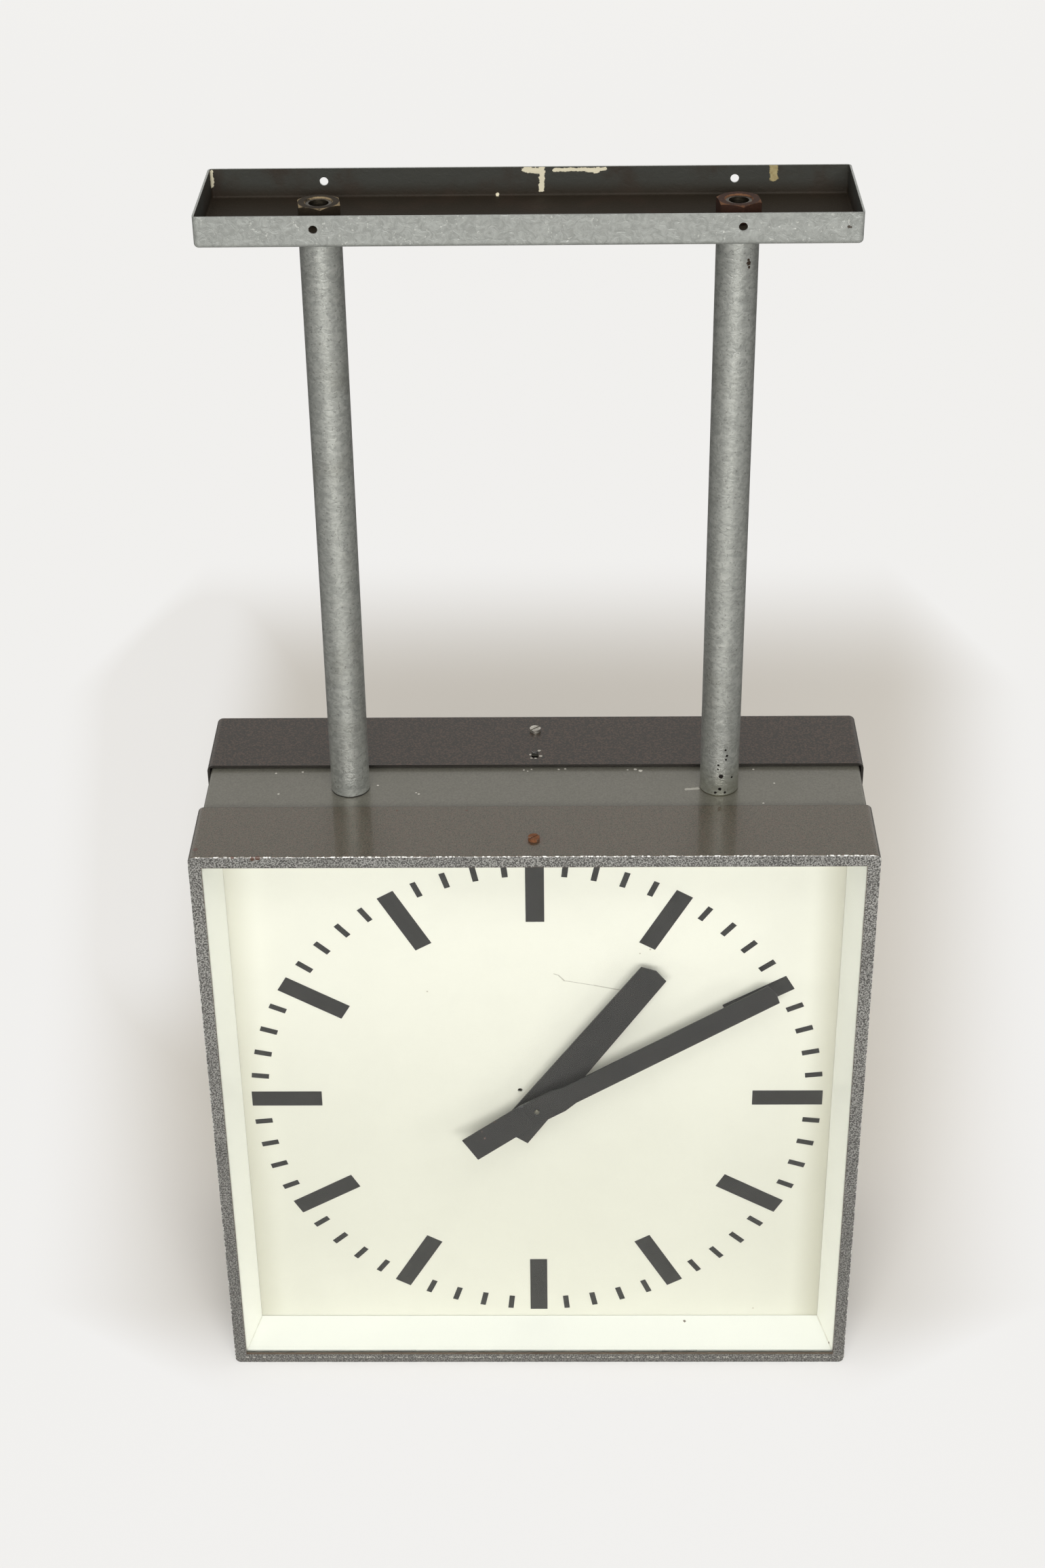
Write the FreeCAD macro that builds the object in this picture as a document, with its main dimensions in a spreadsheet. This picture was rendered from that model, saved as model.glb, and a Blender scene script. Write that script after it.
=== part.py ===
import FreeCAD, Part
import math
import os
from types import SimpleNamespace

import Sketcher

# Double sided station clock: a square drum with a dial on each face, hung from two tubes under a
# shallow ceiling tray.
# Frame: X to the right, Y away from the front dial, Z up. The origin is the middle of the case's
# footprint, so the case stands on z = 0. A piece of one side is drawn for the front, where its
# "reach" is its distance in front of the middle plane, and the rear side is the same piece turned
# half round about Z.

SIZES = {
    # case and covers
    "case_side": 520, "case_depth": 206, "front_cover_depth": 70, "rear_cover_depth": 75,
    "cover_wall": 2, "cover_corner": 5, "cover_edge_round": 1.2, "cover_lip": 10,
    "cover_clear": 1.2,
    "ring_wall": 1.5, "ring_corner": 2.5, "ring_inset": 11, "roof_skirt": 12,
    # screws that hold the covers, placed from the covers' faces, and the hole beside the rear one
    "cover_screw_place": 23, "cover_screw_radius": 2.5,
    "cover_screw_head_radius": 4.4, "cover_screw_head_height": 2.6, "cover_screw_end": 1.25,
    "screw_slot_width": 1.2, "screw_slot_depth": 1.3, "ring_slot_clear": 0.6,
    "cover_nut_flats": 8, "cover_nut_height": 4,
    "latch_place": 15.2, "latch_width": 5.5, "latch_length": 9.5,
    # glazing
    "glass_thick": 3, "glass_cover": 3, "bezel_sheet": 1.2, "bezel_slope": 10.5,
    "bezel_flange": 7, "clip_length": 30, "clip_offset": 120, "clip_sheet": 1.5, "clip_leg": 4,
    "clip_inset": 1,
    # dial
    "dial_recess": 36, "dial_sheet": 1.5, "dial_edge_gap": 3.75, "dial_hole_radius": 5,
    "setting_hole_radius": 2, "setting_hole_out": 13.5, "setting_hole_up": 8,
    "mark_outer": 232, "hour_mark_length": 57, "hour_mark_width": 14.5,
    "minute_mark_length": 14, "minute_mark_width": 4.6, "mark_thick": 0.25,
    "dial_screw_radius": 2, "dial_screw_head_radius": 3, "dial_screw_head_height": 2,
    "dial_screw_inset": 4.5, "dial_screw_offset": 150,
    "bracket_sheet": 2, "bracket_foot": 13.5, "bracket_leg": 17.5, "bracket_width": 20,
    # hands
    "minute_angle": 58, "hand_sheet": 1, "hour_hand_rise": 11.5, "minute_hand_rise": 16.5,
    "minute_length": 222.3, "minute_shoulder": 220, "minute_half_width": 9.4,
    "minute_tail": 64, "minute_tail_half_width": 11.8, "minute_waist_start": 20,
    "minute_waist_end": 32, "tail_bend_start": 9, "tail_lift": 7.8,
    "hour_length": 165.6, "hour_shoulder": 162, "hour_tip_half_width": 12,
    "hour_tail": 35, "hour_tail_half_width": 15,
    "collet_radius": 7, "collet_height": 3,
    # wheels and arbors
    "gear_module": 0.8, "gear_thick": 2, "tooth_tip": 0.5, "tooth_root": 0.76,
    "wheel_behind_plate": 3, "wheel_window_radius": 8.6, "wheel_window_place": 17,
    "hub_radius": 5.4, "hub_length": 2, "arbor_radius": 2.25, "arbor_tip": 1.5, "arbor_dome": 1.2,
    "arbor_tail": 2, "cannon_length": 2.8, "motion_clear": 1, "motion_step": 4,
    "motion_pinion_length": 7, "pipe_wall": 1.7, "pipe_step": 0.5, "running_clear": 0.05,
    "stud_radius": 1.5, "rotor_arbor_radius": 1, "leaf_margin": 0.5,
    # movement
    "plate_half": 48, "plate_thick": 2, "plate_gap": 22, "motion_gap": 15.5,
    "pillar_place": 42, "pillar_radius": 3.5, "plate_screw_radius": 1.45,
    "plate_screw_head_radius": 2.8, "plate_screw_head_height": 2, "plate_screw_length": 6,
    "bar_height": 70, "bar_thick": 3, "bar_hole_radius": 31, "bar_end_leg": 20,
    "bar_screw_out": 40, "bar_screw_up": 26, "bar_screw_radius": 2, "bar_screw_head_radius": 3.5,
    "bar_screw_head_height": 2.4,
    "stator_thick": 5, "stator_post_height": 5.5, "stator_post_radius": 2.5,
    "stator_out": 32, "stator_leg": 8, "stator_top": 20.5, "core_height": 5, "pole_height": 17,
    "pole_split": 1, "air_gap": 0.6, "magnet_radius": 6, "magnet_length": 9,
    "coil_length": 44, "coil_radius": 7.5, "bobbin_radius": 4.6, "bobbin_flange_radius": 8,
    "bobbin_flange": 1.5, "bobbin_clear": 0.1,
    # suspension
    "total_height": 998, "tube_place": 144, "tube_radius": 15, "tube_wall": 2,
    "tray_length": 450, "tray_width": 99.5, "tray_height": 22, "tray_sheet": 1.5, "tray_corner": 3.5,
    "tray_fold": 3, "tray_hole_radius": 3, "tray_hole_drop": 9.3,
    "nipple_radius": 9, "nipple_bore": 7, "nipple_recess": 1, "nipple_clear": 0.3,
    "plug_height": 15, "nut_flats": 28.5, "nut_height": 13.5, "nut_chamfer": 1.3, "nut_mouth": 1,
    "thread_clear": 0.05,
    "terminal_length": 60, "terminal_width": 20, "terminal_height": 16, "terminal_bore": 2.5,
    "terminal_driver_radius": 2, "terminal_pitch": 12,
    # gaps, and how far a cut runs past the piece it cuts
    "slide_clear": 0.3, "bezel_gap": 0.5, "screw_clear": 0.2, "overcut": 1,
}
CANNON_TEETH, WHEEL_TEETH = 10, 30
PINION_TEETH, HOUR_TEETH = 8, 32
ROTOR_TEETH, MINUTE_TEETH = 8, 80
# Twelve turns of the minute hand are one turn of the hour hand, which stands past one o'clock
HOUR_RATIO = 12
FIRST_HOUR = 30
# The share of its step that a tooth fills at the pitch circle, and its tip's share of that
TOOTH_WIDTH = 0.42
TOOTH_CROWN = 0.4
# The turn of the lock nuts, which have one corner nearly at the front, and of the screws' slots
NUT_TURN = -82
SLOT_TURN = 40

doc = FreeCAD.newDocument("StationClock")
sheet = doc.addObject("Spreadsheet::Sheet", "Sizes")
for row, (alias, number) in enumerate(SIZES.items(), 1):
    sheet.set(f"A{row}", alias)
    sheet.set(f"B{row}", str(number))
    sheet.setAlias(f"B{row}", alias)
doc.recompute()


class Size:
    """A length with the expression that ties it to the sheet."""

    def __init__(self, value, text):
        self.value = value
        self.text = text

    def __float__(self):
        return float(self.value)

    def __neg__(self):
        return Size(-self.value, f"-({self.text})")

    def __add__(self, other):
        return Size(self.value + number_of(other), f"({self.text} + {text_of(other)})")

    def __sub__(self, other):
        return Size(self.value - number_of(other), f"({self.text} - {text_of(other)})")

    def __rsub__(self, other):
        return Size(number_of(other) - self.value, f"({text_of(other)} - {self.text})")

    def __mul__(self, other):
        return Size(self.value * number_of(other), f"({self.text} * {text_of(other)})")

    def __truediv__(self, other):
        return Size(self.value / number_of(other), f"({self.text} / {text_of(other)})")

    __radd__ = __add__
    __rmul__ = __mul__


def number_of(length):
    return float(length)


def text_of(length):
    return length.text if isinstance(length, Size) else f"{float(length):.9f}"


def tie(target, name, length):
    """Give a property its size, and its expression where the size comes from the sheet."""
    if isinstance(length, Size):
        target.setExpression(name, length.text)


s = SimpleNamespace(**{name: Size(float(getattr(sheet, name)), f"Sizes.{name}") for name in SIZES})

# Sizes that several pieces share
half_side = s.case_side / 2
front_face = s.case_depth / 2
cover_backs = {"front": front_face - s.front_cover_depth, "rear": front_face - s.rear_cover_depth}
inner_face = front_face - s.cover_wall
screw_reach = front_face - s.cover_screw_place
latch_reach = cover_backs["rear"] + s.latch_place
cover_inner = half_side - s.cover_wall
ring_outer = cover_inner - s.cover_clear
ring_inner = ring_outer - s.ring_wall
ring_reach = front_face - s.ring_inset
ring_top = half_side + ring_outer
ring_roof = half_side + ring_inner
ring_seam = ring_top - s.roof_skirt
window_half = half_side - s.cover_lip
glass_back = inner_face - s.glass_thick
dial_face = front_face - s.dial_recess
dial_back = dial_face - s.dial_sheet
dial_half = ring_inner - s.dial_edge_gap
dial_screw_place = dial_half - s.dial_screw_inset
bar_front = dial_face - s.motion_gap + s.dial_sheet
bar_back = bar_front - s.bar_thick
plate_front = bar_back
plate_back = plate_front - s.plate_thick
rear_plate_front = plate_back - s.plate_gap
rear_plate_back = rear_plate_front - s.plate_thick
tray_floor = s.total_height - s.tray_height
nut_bore = s.nipple_radius + s.thread_clear
motion_distance = s.gear_module * (CANNON_TEETH + WHEEL_TEETH) / 2
rotor_distance = s.gear_module * (ROTOR_TEETH + MINUTE_TEETH) / 2
pipe_bore = s.arbor_radius + s.running_clear
pipe_radius = pipe_bore + s.pipe_wall
hour_hand_back = dial_face + s.hour_hand_rise
minute_hand_back = dial_face + s.minute_hand_rise
minute_wheel_back = plate_back - s.wheel_behind_plate - s.gear_thick
cannon_back = bar_front + s.motion_clear
hour_wheel_back = cannon_back + s.motion_step
coil_reach = rear_plate_front + s.stator_post_height + s.stator_thick / 2
coil_up = s.stator_top - s.core_height / 2

nodes = {}


def body(label, turn=0.0, height=None, spin=0.0):
    """A body whose origin is on the Z axis, turned about Z for its side and about its own Y."""
    piece = doc.addObject("PartDesign::Body", label)
    piece.Label = label
    turned = FreeCAD.Rotation(FreeCAD.Vector(0, 0, 1), turn)
    spun = FreeCAD.Rotation(FreeCAD.Vector(0, 1, 0), spin)
    piece.Placement = FreeCAD.Placement(FreeCAD.Vector(0, 0, 0), turned * spun)
    if height is not None:
        piece.setExpression("Placement.Base.z", text_of(height))
    nodes[label] = piece
    return piece


def solid(label, shape, turn, height):
    """A piece whose outline comes from a formula."""
    piece = doc.addObject("Part::Feature", label)
    piece.Label = label
    piece.Shape = shape
    turned = FreeCAD.Rotation(FreeCAD.Vector(0, 0, 1), turn)
    piece.Placement = FreeCAD.Placement(FreeCAD.Vector(0, 0, float(height)), turned)
    nodes[label] = piece


def origin_part(piece, role):
    return next(part for part in piece.Origin.OriginFeatures if part.Role == role)


def sketch(piece, role, offset, shift=None):
    """A sketch parallel to an origin plane. On XZ_Plane the offset is the reach to the front."""
    drawn = piece.newObject("Sketcher::SketchObject", f"{piece.Name}_sketch")
    drawn.AttachmentSupport = [(origin_part(piece, role), "")]
    drawn.MapMode = "FlatFace"
    drawn.AttachmentOffset = FreeCAD.Placement(
        FreeCAD.Vector(number_of(shift or 0), 0, number_of(offset)), FreeCAD.Rotation())
    tie(drawn, "AttachmentOffset.Base.z", offset)
    tie(drawn, "AttachmentOffset.Base.x", shift or 0)
    return drawn


def constrain(drawn, kind, references, length):
    index = drawn.addConstraint(Sketcher.Constraint(kind, *references, number_of(length)))
    tie(drawn, f"Constraints[{index}]", length)


def polygon(drawn, corners):
    """A closed outline with every corner placed from the sketch's origin."""
    first = drawn.GeometryCount
    points = [FreeCAD.Vector(number_of(x), number_of(y), 0) for x, y in corners]
    for index, point in enumerate(points):
        drawn.addGeometry(Part.LineSegment(point, points[(index + 1) % len(points)]), False)
    for index, (x, y) in enumerate(corners):
        line = first + index
        following = first + (index + 1) % len(corners)
        drawn.addConstraint(Sketcher.Constraint("Coincident", line, 2, following, 1))
        constrain(drawn, "DistanceX", (-1, 1, line, 1), x)
        constrain(drawn, "DistanceY", (-1, 1, line, 1), y)


def rectangle(drawn, low_x, low_y, high_x, high_y):
    polygon(drawn, [(low_x, low_y), (high_x, low_y), (high_x, high_y), (low_x, high_y)])


def square(drawn, half, middle=0):
    rectangle(drawn, -half, middle - half, half, middle + half)


def hexagon(drawn, flats, x, y, turn=0):
    radius = flats / math.sqrt(3)
    turns = [math.radians(60 * corner + turn) for corner in range(6)]
    polygon(drawn, [(x + radius * math.cos(a), y + radius * math.sin(a)) for a in turns])


def circles(drawn, radius, places):
    for x, y in places:
        middle = FreeCAD.Vector(number_of(x), number_of(y), 0)
        line = drawn.addGeometry(
            Part.Circle(middle, FreeCAD.Vector(0, 0, 1), number_of(radius)), False)
        constrain(drawn, "Radius", (line,), radius)
        constrain(drawn, "DistanceX", (-1, 1, line, 3), x)
        constrain(drawn, "DistanceY", (-1, 1, line, 3), y)


def pad(piece, drawn, length, symmetric=False):
    feature = piece.newObject("PartDesign::Pad", f"{piece.Name}_pad")
    feature.Profile = drawn
    feature.Length = number_of(length)
    tie(feature, "Length", length)
    feature.SideType = "Symmetric" if symmetric else "One side"
    doc.recompute()
    return feature


def pocket(piece, drawn, length=None, symmetric=False):
    """A cut that runs against the sketch's normal, or right through without a length."""
    before = piece.Shape.Volume
    feature = piece.newObject("PartDesign::Pocket", f"{piece.Name}_pocket")
    feature.Profile = drawn
    if length is None:
        feature.Type = "ThroughAll"
    else:
        feature.Length = number_of(length)
        tie(feature, "Length", length)
    feature.SideType = "Symmetric" if symmetric else "One side"
    doc.recompute()
    if not piece.Shape.Volume < before:
        raise ValueError(f"{feature.Name} cuts nothing")
    return feature


def groove(piece, drawn):
    before = piece.Shape.Volume
    feature = piece.newObject("PartDesign::Groove", f"{piece.Name}_groove")
    feature.Profile = drawn
    feature.ReferenceAxis = (drawn, ["V_Axis"])
    feature.Angle = 360
    doc.recompute()
    if not piece.Shape.Volume < before:
        raise ValueError(f"{feature.Name} cuts nothing")
    return feature


def loft(piece, kind, near, far):
    feature = piece.newObject(f"PartDesign::{kind}", f"{piece.Name}_loft")
    feature.Profile = near
    feature.Sections = [far]
    doc.recompute()
    return feature


def fillet(piece, radius, chosen):
    """Round the edges of the body so far that the given test picks."""
    base = piece.Tip
    names = [f"Edge{n}" for n, edge in enumerate(base.Shape.Edges, 1) if chosen(edge)]
    feature = piece.newObject("PartDesign::Fillet", f"{piece.Name}_fillet")
    feature.Base = (base, names)
    feature.Radius = number_of(radius)
    tie(feature, "Radius", radius)
    doc.recompute()
    return feature


def polar(piece, originals, count):
    """Repeat features round the body's own Y axis."""
    feature = piece.newObject("PartDesign::PolarPattern", f"{piece.Name}_pattern")
    feature.Originals = originals
    feature.Axis = (origin_part(piece, "Y_Axis"), [""])
    feature.Angle = 360
    feature.Occurrences = count
    piece.Tip = feature
    doc.recompute()
    return feature


def runs_along(axis):
    """Tests an edge for being straight and parallel to an axis."""
    def test(edge):
        if edge.Curve.TypeId != "Part::GeomLine":
            return False
        return abs(abs(edge.Curve.Direction.dot(axis)) - 1) < 1e-6
    return test


def lies_in(axis, level):
    """Tests an edge for lying in the plane across an axis at the given level."""
    def test(edge):
        ends = (getattr(edge.BoundBox, f"{axis}Min"), getattr(edge.BoundBox, f"{axis}Max"))
        return all(abs(end - float(level)) < 1e-6 for end in ends)
    return test


along_y = runs_along(FreeCAD.Vector(0, 1, 0))
along_z = runs_along(FreeCAD.Vector(0, 0, 1))


def gear_face(teeth):
    """A clock tooth outline: radial flanks up to the pitch circle, and a tip that narrows."""
    pitch = float(s.gear_module) * teeth / 2
    tip = pitch + float(s.tooth_tip)
    root = pitch - float(s.tooth_root)
    step = 2 * math.pi / teeth
    half = step / 2 * TOOTH_WIDTH
    crown = half * TOOTH_CROWN
    points = []
    for tooth in range(teeth):
        for radius, turn in ((root, -half), (pitch, -half), (tip, -crown),
                             (tip, crown), (pitch, half), (root, half)):
            angle = tooth * step + turn
            points.append(FreeCAD.Vector(radius * math.sin(angle), 0, radius * math.cos(angle)))
    return Part.Face(Part.makePolygon(points + points[:1]))


def gear(teeth, back, thick, phase=0.0):
    """A gear whose back is at the given reach, turned by its phase about its own axis."""
    blank = gear_face(teeth).extrude(FreeCAD.Vector(0, -float(thick), 0))
    blank.rotate(FreeCAD.Vector(0, 0, 0), FreeCAD.Vector(0, 1, 0), phase)
    blank.translate(FreeCAD.Vector(0, -float(back), 0))
    return blank


def rod(radius, back, front):
    """A round bar along the dial axis between two reaches."""
    start = FreeCAD.Vector(0, -float(back), 0)
    return Part.makeCylinder(float(radius), float(front - back), start, FreeCAD.Vector(0, -1, 0))


# ---------------------------------------------------------------- case and suspension

def ring_band(label, cut_low, cut_high):
    """The folded sheet ring between the covers, without what lies between two heights."""
    piece = body(label)
    outline = sketch(piece, "XZ_Plane", -ring_reach)
    square(outline, ring_outer, half_side)
    pad(piece, outline, ring_reach * 2)
    fillet(piece, s.ring_corner, along_y)
    inside = sketch(piece, "XZ_Plane", ring_reach)
    square(inside, ring_inner, half_side)
    pocket(piece, inside)
    rest = sketch(piece, "XZ_Plane", ring_reach)
    rectangle(rest, -half_side, cut_low, half_side, cut_high)
    pocket(piece, rest)
    return piece


def case_roof():
    """The roof of the ring, folded down at both ends and butted on the sides."""
    piece = ring_band("case_roof", s.overcut, ring_seam)
    holes = sketch(piece, "XY_Plane", ring_top)
    circles(holes, s.nipple_radius + s.nipple_clear, tube_places())
    slot_half = s.cover_screw_radius + s.ring_slot_clear
    rectangle(holes, -slot_half, -ring_reach - s.overcut,
              slot_half, -screw_reach + slot_half)
    rectangle(holes, -slot_half, screw_reach - slot_half,
              slot_half, ring_reach + s.overcut)
    rectangle(holes, -s.latch_width / 2, latch_reach - s.latch_length / 2,
              s.latch_width / 2, latch_reach + s.latch_length / 2)
    pocket(piece, holes, s.ring_wall * 2)


def hanger_tube(label, side):
    piece = body(label)
    section = sketch(piece, "XY_Plane", ring_top)
    circles(section, s.tube_radius, [(s.tube_place * side, 0)])
    circles(section, s.tube_radius - s.tube_wall, [(s.tube_place * side, 0)])
    pad(piece, section, tray_floor - ring_top)


def tube_places():
    return [(-s.tube_place, 0), (s.tube_place, 0)]


def tube_end_plugs():
    piece = body("tube_end_plugs")
    for low in (ring_top, tray_floor - s.plug_height):
        section = sketch(piece, "XY_Plane", low)
        circles(section, s.tube_radius - s.tube_wall - s.thread_clear, tube_places())
        circles(section, nut_bore, tube_places())
        pad(piece, section, s.plug_height)


def tube_nipples():
    """Hollow threaded nipples: the cables run through them from the tray into the case."""
    piece = body("tube_nipples")
    lower = ring_roof - s.nut_height + s.nipple_recess
    upper = tray_floor + s.tray_sheet + s.nut_height - s.nipple_recess
    for low, high in ((lower, ring_top + s.plug_height), (tray_floor - s.plug_height, upper)):
        section = sketch(piece, "XY_Plane", low)
        circles(section, s.nipple_radius, tube_places())
        circles(section, s.nipple_bore, tube_places())
        pad(piece, section, high - low)


def lock_nuts():
    """Four hexagon nuts: two clamp the tray on the tubes and two clamp the case."""
    piece = body("lock_nuts")
    corner = s.nut_flats / math.sqrt(3) + s.overcut
    flat = s.nut_flats / 2
    mouth = nut_bore + s.nut_mouth
    for x, _ in tube_places():
        for low in (ring_roof - s.nut_height, tray_floor + s.tray_sheet):
            outline = sketch(piece, "XY_Plane", low)
            hexagon(outline, s.nut_flats, x, 0, NUT_TURN)
            circles(outline, nut_bore, [(x, 0)])
            pad(piece, outline, s.nut_height)
            high = low + s.nut_height
            bevel = sketch(piece, "XZ_Plane", 0, x)
            polygon(bevel, [(flat, high), (corner, high), (corner, high - s.nut_chamfer)])
            polygon(bevel, [(flat, low), (corner, low + s.nut_chamfer), (corner, low)])
            polygon(bevel, [(nut_bore - s.overcut, high), (mouth, high),
                            (nut_bore, high - s.nut_mouth),
                            (nut_bore - s.overcut, high - s.nut_mouth)])
            groove(piece, bevel)


def top_tray():
    piece = body("top_tray")
    outline = sketch(piece, "XY_Plane", tray_floor)
    rectangle(outline, -s.tray_length / 2, -s.tray_width / 2, s.tray_length / 2, s.tray_width / 2)
    pad(piece, outline, s.tray_height)
    fillet(piece, s.tray_corner, along_z)
    fillet(piece, s.tray_fold, lies_in("Z", tray_floor))
    inside = sketch(piece, "XY_Plane", s.total_height)
    inner_x = s.tray_length / 2 - s.tray_sheet
    inner_y = s.tray_width / 2 - s.tray_sheet
    rectangle(inside, -inner_x, -inner_y, inner_x, inner_y)
    pocket(piece, inside, s.tray_height - s.tray_sheet)
    on_flange = lies_in("Y", inner_y)
    on_other_flange = lies_in("Y", -inner_y)
    fillet(piece, s.tray_corner - s.tray_sheet,
           lambda edge: along_z(edge) and (on_flange(edge) or on_other_flange(edge)))
    fillet(piece, s.tray_fold - s.tray_sheet, lies_in("Z", tray_floor + s.tray_sheet))
    seats = sketch(piece, "XY_Plane", tray_floor + s.tray_sheet)
    circles(seats, s.nipple_radius + s.nipple_clear, tube_places())
    pocket(piece, seats, s.tray_sheet * 2)
    screws = sketch(piece, "XZ_Plane", s.tray_width / 2)
    level = s.total_height - s.tray_hole_drop
    circles(screws, s.tray_hole_radius, [(-s.tube_place, level), (s.tube_place, level)])
    pocket(piece, screws)


def terminal_block():
    """A screw terminal for the clock line, fixed under the roof of the case."""
    piece = body("terminal_block")
    outline = sketch(piece, "XY_Plane", ring_roof - s.terminal_height)
    half_width = s.terminal_width / 2
    rectangle(outline, -s.terminal_length / 2, -half_width, s.terminal_length / 2, half_width)
    pad(piece, outline, s.terminal_height)
    entries = sketch(piece, "XZ_Plane", half_width)
    level = ring_roof - s.terminal_height / 2
    columns = [s.terminal_pitch * step for step in (-1.5, -0.5, 0.5, 1.5)]
    circles(entries, s.terminal_bore, [(column, level) for column in columns])
    pocket(piece, entries)
    drivers = sketch(piece, "XY_Plane", level)
    circles(drivers, s.terminal_driver_radius, [(column, 0) for column in columns])
    pocket(piece, drivers, s.terminal_height)


# ---------------------------------------------------------------- covers

def cover_shell(side, turn):
    """A folded box open at the back, with a window that leaves a narrow lip."""
    piece = body(f"{side}_cover_shell", turn)
    depth = front_face - cover_backs[side]
    outline = sketch(piece, "XZ_Plane", cover_backs[side])
    square(outline, half_side, half_side)
    pad(piece, outline, depth)
    fillet(piece, s.cover_corner, along_y)
    fillet(piece, s.cover_edge_round, lies_in("Y", -float(front_face)))
    inside = sketch(piece, "XZ_Plane", inner_face)
    square(inside, cover_inner, half_side)
    pocket(piece, inside, depth)
    window = sketch(piece, "XZ_Plane", front_face)
    square(window, window_half, half_side)
    pocket(piece, window, s.cover_wall * 2)
    holes = sketch(piece, "XY_Plane", s.case_side)
    circles(holes, s.cover_screw_radius + s.slide_clear, [(0, -screw_reach)])
    if side == "rear":
        rectangle(holes, -s.latch_width / 2, -latch_reach - s.latch_length / 2,
                  s.latch_width / 2, -latch_reach + s.latch_length / 2)
    pocket(piece, holes, s.cover_wall * 2)


def glass(side, turn):
    piece = body(f"{side}_glass", turn, half_side)
    outline = sketch(piece, "XZ_Plane", glass_back)
    square(outline, window_half + s.glass_cover)
    pad(piece, outline, s.glass_thick)


def bezel(side, turn):
    """A painted frame: a flange behind the glass and four walls that lean in to the dial."""
    piece = body(f"{side}_bezel", turn, half_side)
    rear = dial_face + s.bezel_gap
    flange = sketch(piece, "XZ_Plane", glass_back - s.bezel_sheet)
    square(flange, window_half + s.bezel_flange)
    pad(piece, flange, s.bezel_sheet)
    dial_opening = window_half - s.bezel_slope
    for kind, extra in (("AdditiveLoft", s.bezel_sheet), ("SubtractiveLoft", 0)):
        near = sketch(piece, "XZ_Plane", rear)
        square(near, dial_opening + extra)
        far = sketch(piece, "XZ_Plane", glass_back)
        square(far, window_half + extra)
        loft(piece, kind, near, far)


def glass_clips(side, turn):
    """Eight small angles on the cover's walls, which press the bezel and the glass to the lip."""
    piece = body(f"{side}_glass_clips", turn, half_side)
    seat = -glass_back + s.bezel_sheet
    foot = window_half + s.clip_inset
    pads = []
    for offset in (-s.clip_offset, s.clip_offset):
        profile = sketch(piece, "YZ_Plane", offset)
        polygon(profile, [(seat, foot), (seat, cover_inner), (seat + s.clip_leg, cover_inner),
                          (seat + s.clip_leg, cover_inner - s.clip_sheet),
                          (seat + s.clip_sheet, cover_inner - s.clip_sheet),
                          (seat + s.clip_sheet, foot)])
        pads.append(pad(piece, profile, s.clip_length, symmetric=True))
    polar(piece, pads, 4)


def cover_screw(side, turn):
    """A slotted cheese-head screw through the top of the cover and the slot in the ring."""
    piece = body(f"{side}_cover_screw", turn)
    place = [(0, -screw_reach)]
    shank_low = ring_roof - s.slide_clear - s.cover_nut_height - s.cover_screw_end
    shank = sketch(piece, "XY_Plane", shank_low)
    circles(shank, s.cover_screw_radius, place)
    pad(piece, shank, s.case_side - shank_low)
    head = sketch(piece, "XY_Plane", s.case_side)
    circles(head, s.cover_screw_head_radius, place)
    pad(piece, head, s.cover_screw_head_height)
    slot = sketch(piece, "XY_Plane", s.case_side + s.cover_screw_head_height)
    reach = s.cover_screw_head_radius + s.overcut
    half = s.screw_slot_width / 2
    along = math.cos(math.radians(SLOT_TURN))
    across = math.sin(math.radians(SLOT_TURN))
    corners = [(-reach, -half), (reach, -half), (reach, half), (-reach, half)]
    polygon(slot, [(x * along - y * across, x * across + y * along - screw_reach)
                   for x, y in corners])
    pocket(piece, slot, s.screw_slot_depth)


def cover_nut(side, turn):
    piece = body(f"{side}_cover_nut", turn)
    outline = sketch(piece, "XY_Plane", ring_roof - s.slide_clear - s.cover_nut_height)
    hexagon(outline, s.cover_nut_flats, 0, -screw_reach)
    circles(outline, s.cover_screw_radius + s.thread_clear, [(0, -screw_reach)])
    pad(piece, outline, s.cover_nut_height)


# ---------------------------------------------------------------- dials

def dial_screw_places():
    return [(-s.dial_screw_offset, dial_screw_place), (s.dial_screw_offset, dial_screw_place)]


def dial(side, turn):
    piece = body(f"{side}_dial", turn, half_side)
    outline = sketch(piece, "XZ_Plane", dial_back)
    square(outline, dial_half)
    pad(piece, outline, s.dial_sheet)
    middle = sketch(piece, "XZ_Plane", dial_face)
    circles(middle, s.dial_hole_radius, [(0, 0)])
    circles(middle, s.setting_hole_radius, [(-s.setting_hole_out, s.setting_hole_up),
                                            (s.setting_hole_out, s.setting_hole_up)])
    pocket(piece, middle)
    screws = sketch(piece, "XZ_Plane", dial_face)
    circles(screws, s.dial_screw_radius + s.screw_clear, dial_screw_places())
    cut = pocket(piece, screws)
    polar(piece, [cut], 4)


def dial_marks(side, turn):
    """Printed bars: one wide bar for each hour and four short ones between two hours."""
    piece = body(f"{side}_dial_marks", turn, half_side)
    print_sketch = sketch(piece, "XZ_Plane", dial_face)
    bars = [(0, s.hour_mark_length, s.hour_mark_width)]
    bars += [(6 * n, s.minute_mark_length, s.minute_mark_width) for n in range(1, 5)]
    for degrees, length, width in bars:
        across = math.cos(math.radians(degrees))
        along = math.sin(math.radians(degrees))
        corners = [(-width / 2, s.mark_outer - length), (width / 2, s.mark_outer - length),
                   (width / 2, s.mark_outer), (-width / 2, s.mark_outer)]
        polygon(print_sketch, [(x * across + z * along, z * across - x * along)
                               for x, z in corners])
    printed = pad(piece, print_sketch, s.mark_thick)
    polar(piece, [printed], 12)


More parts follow.
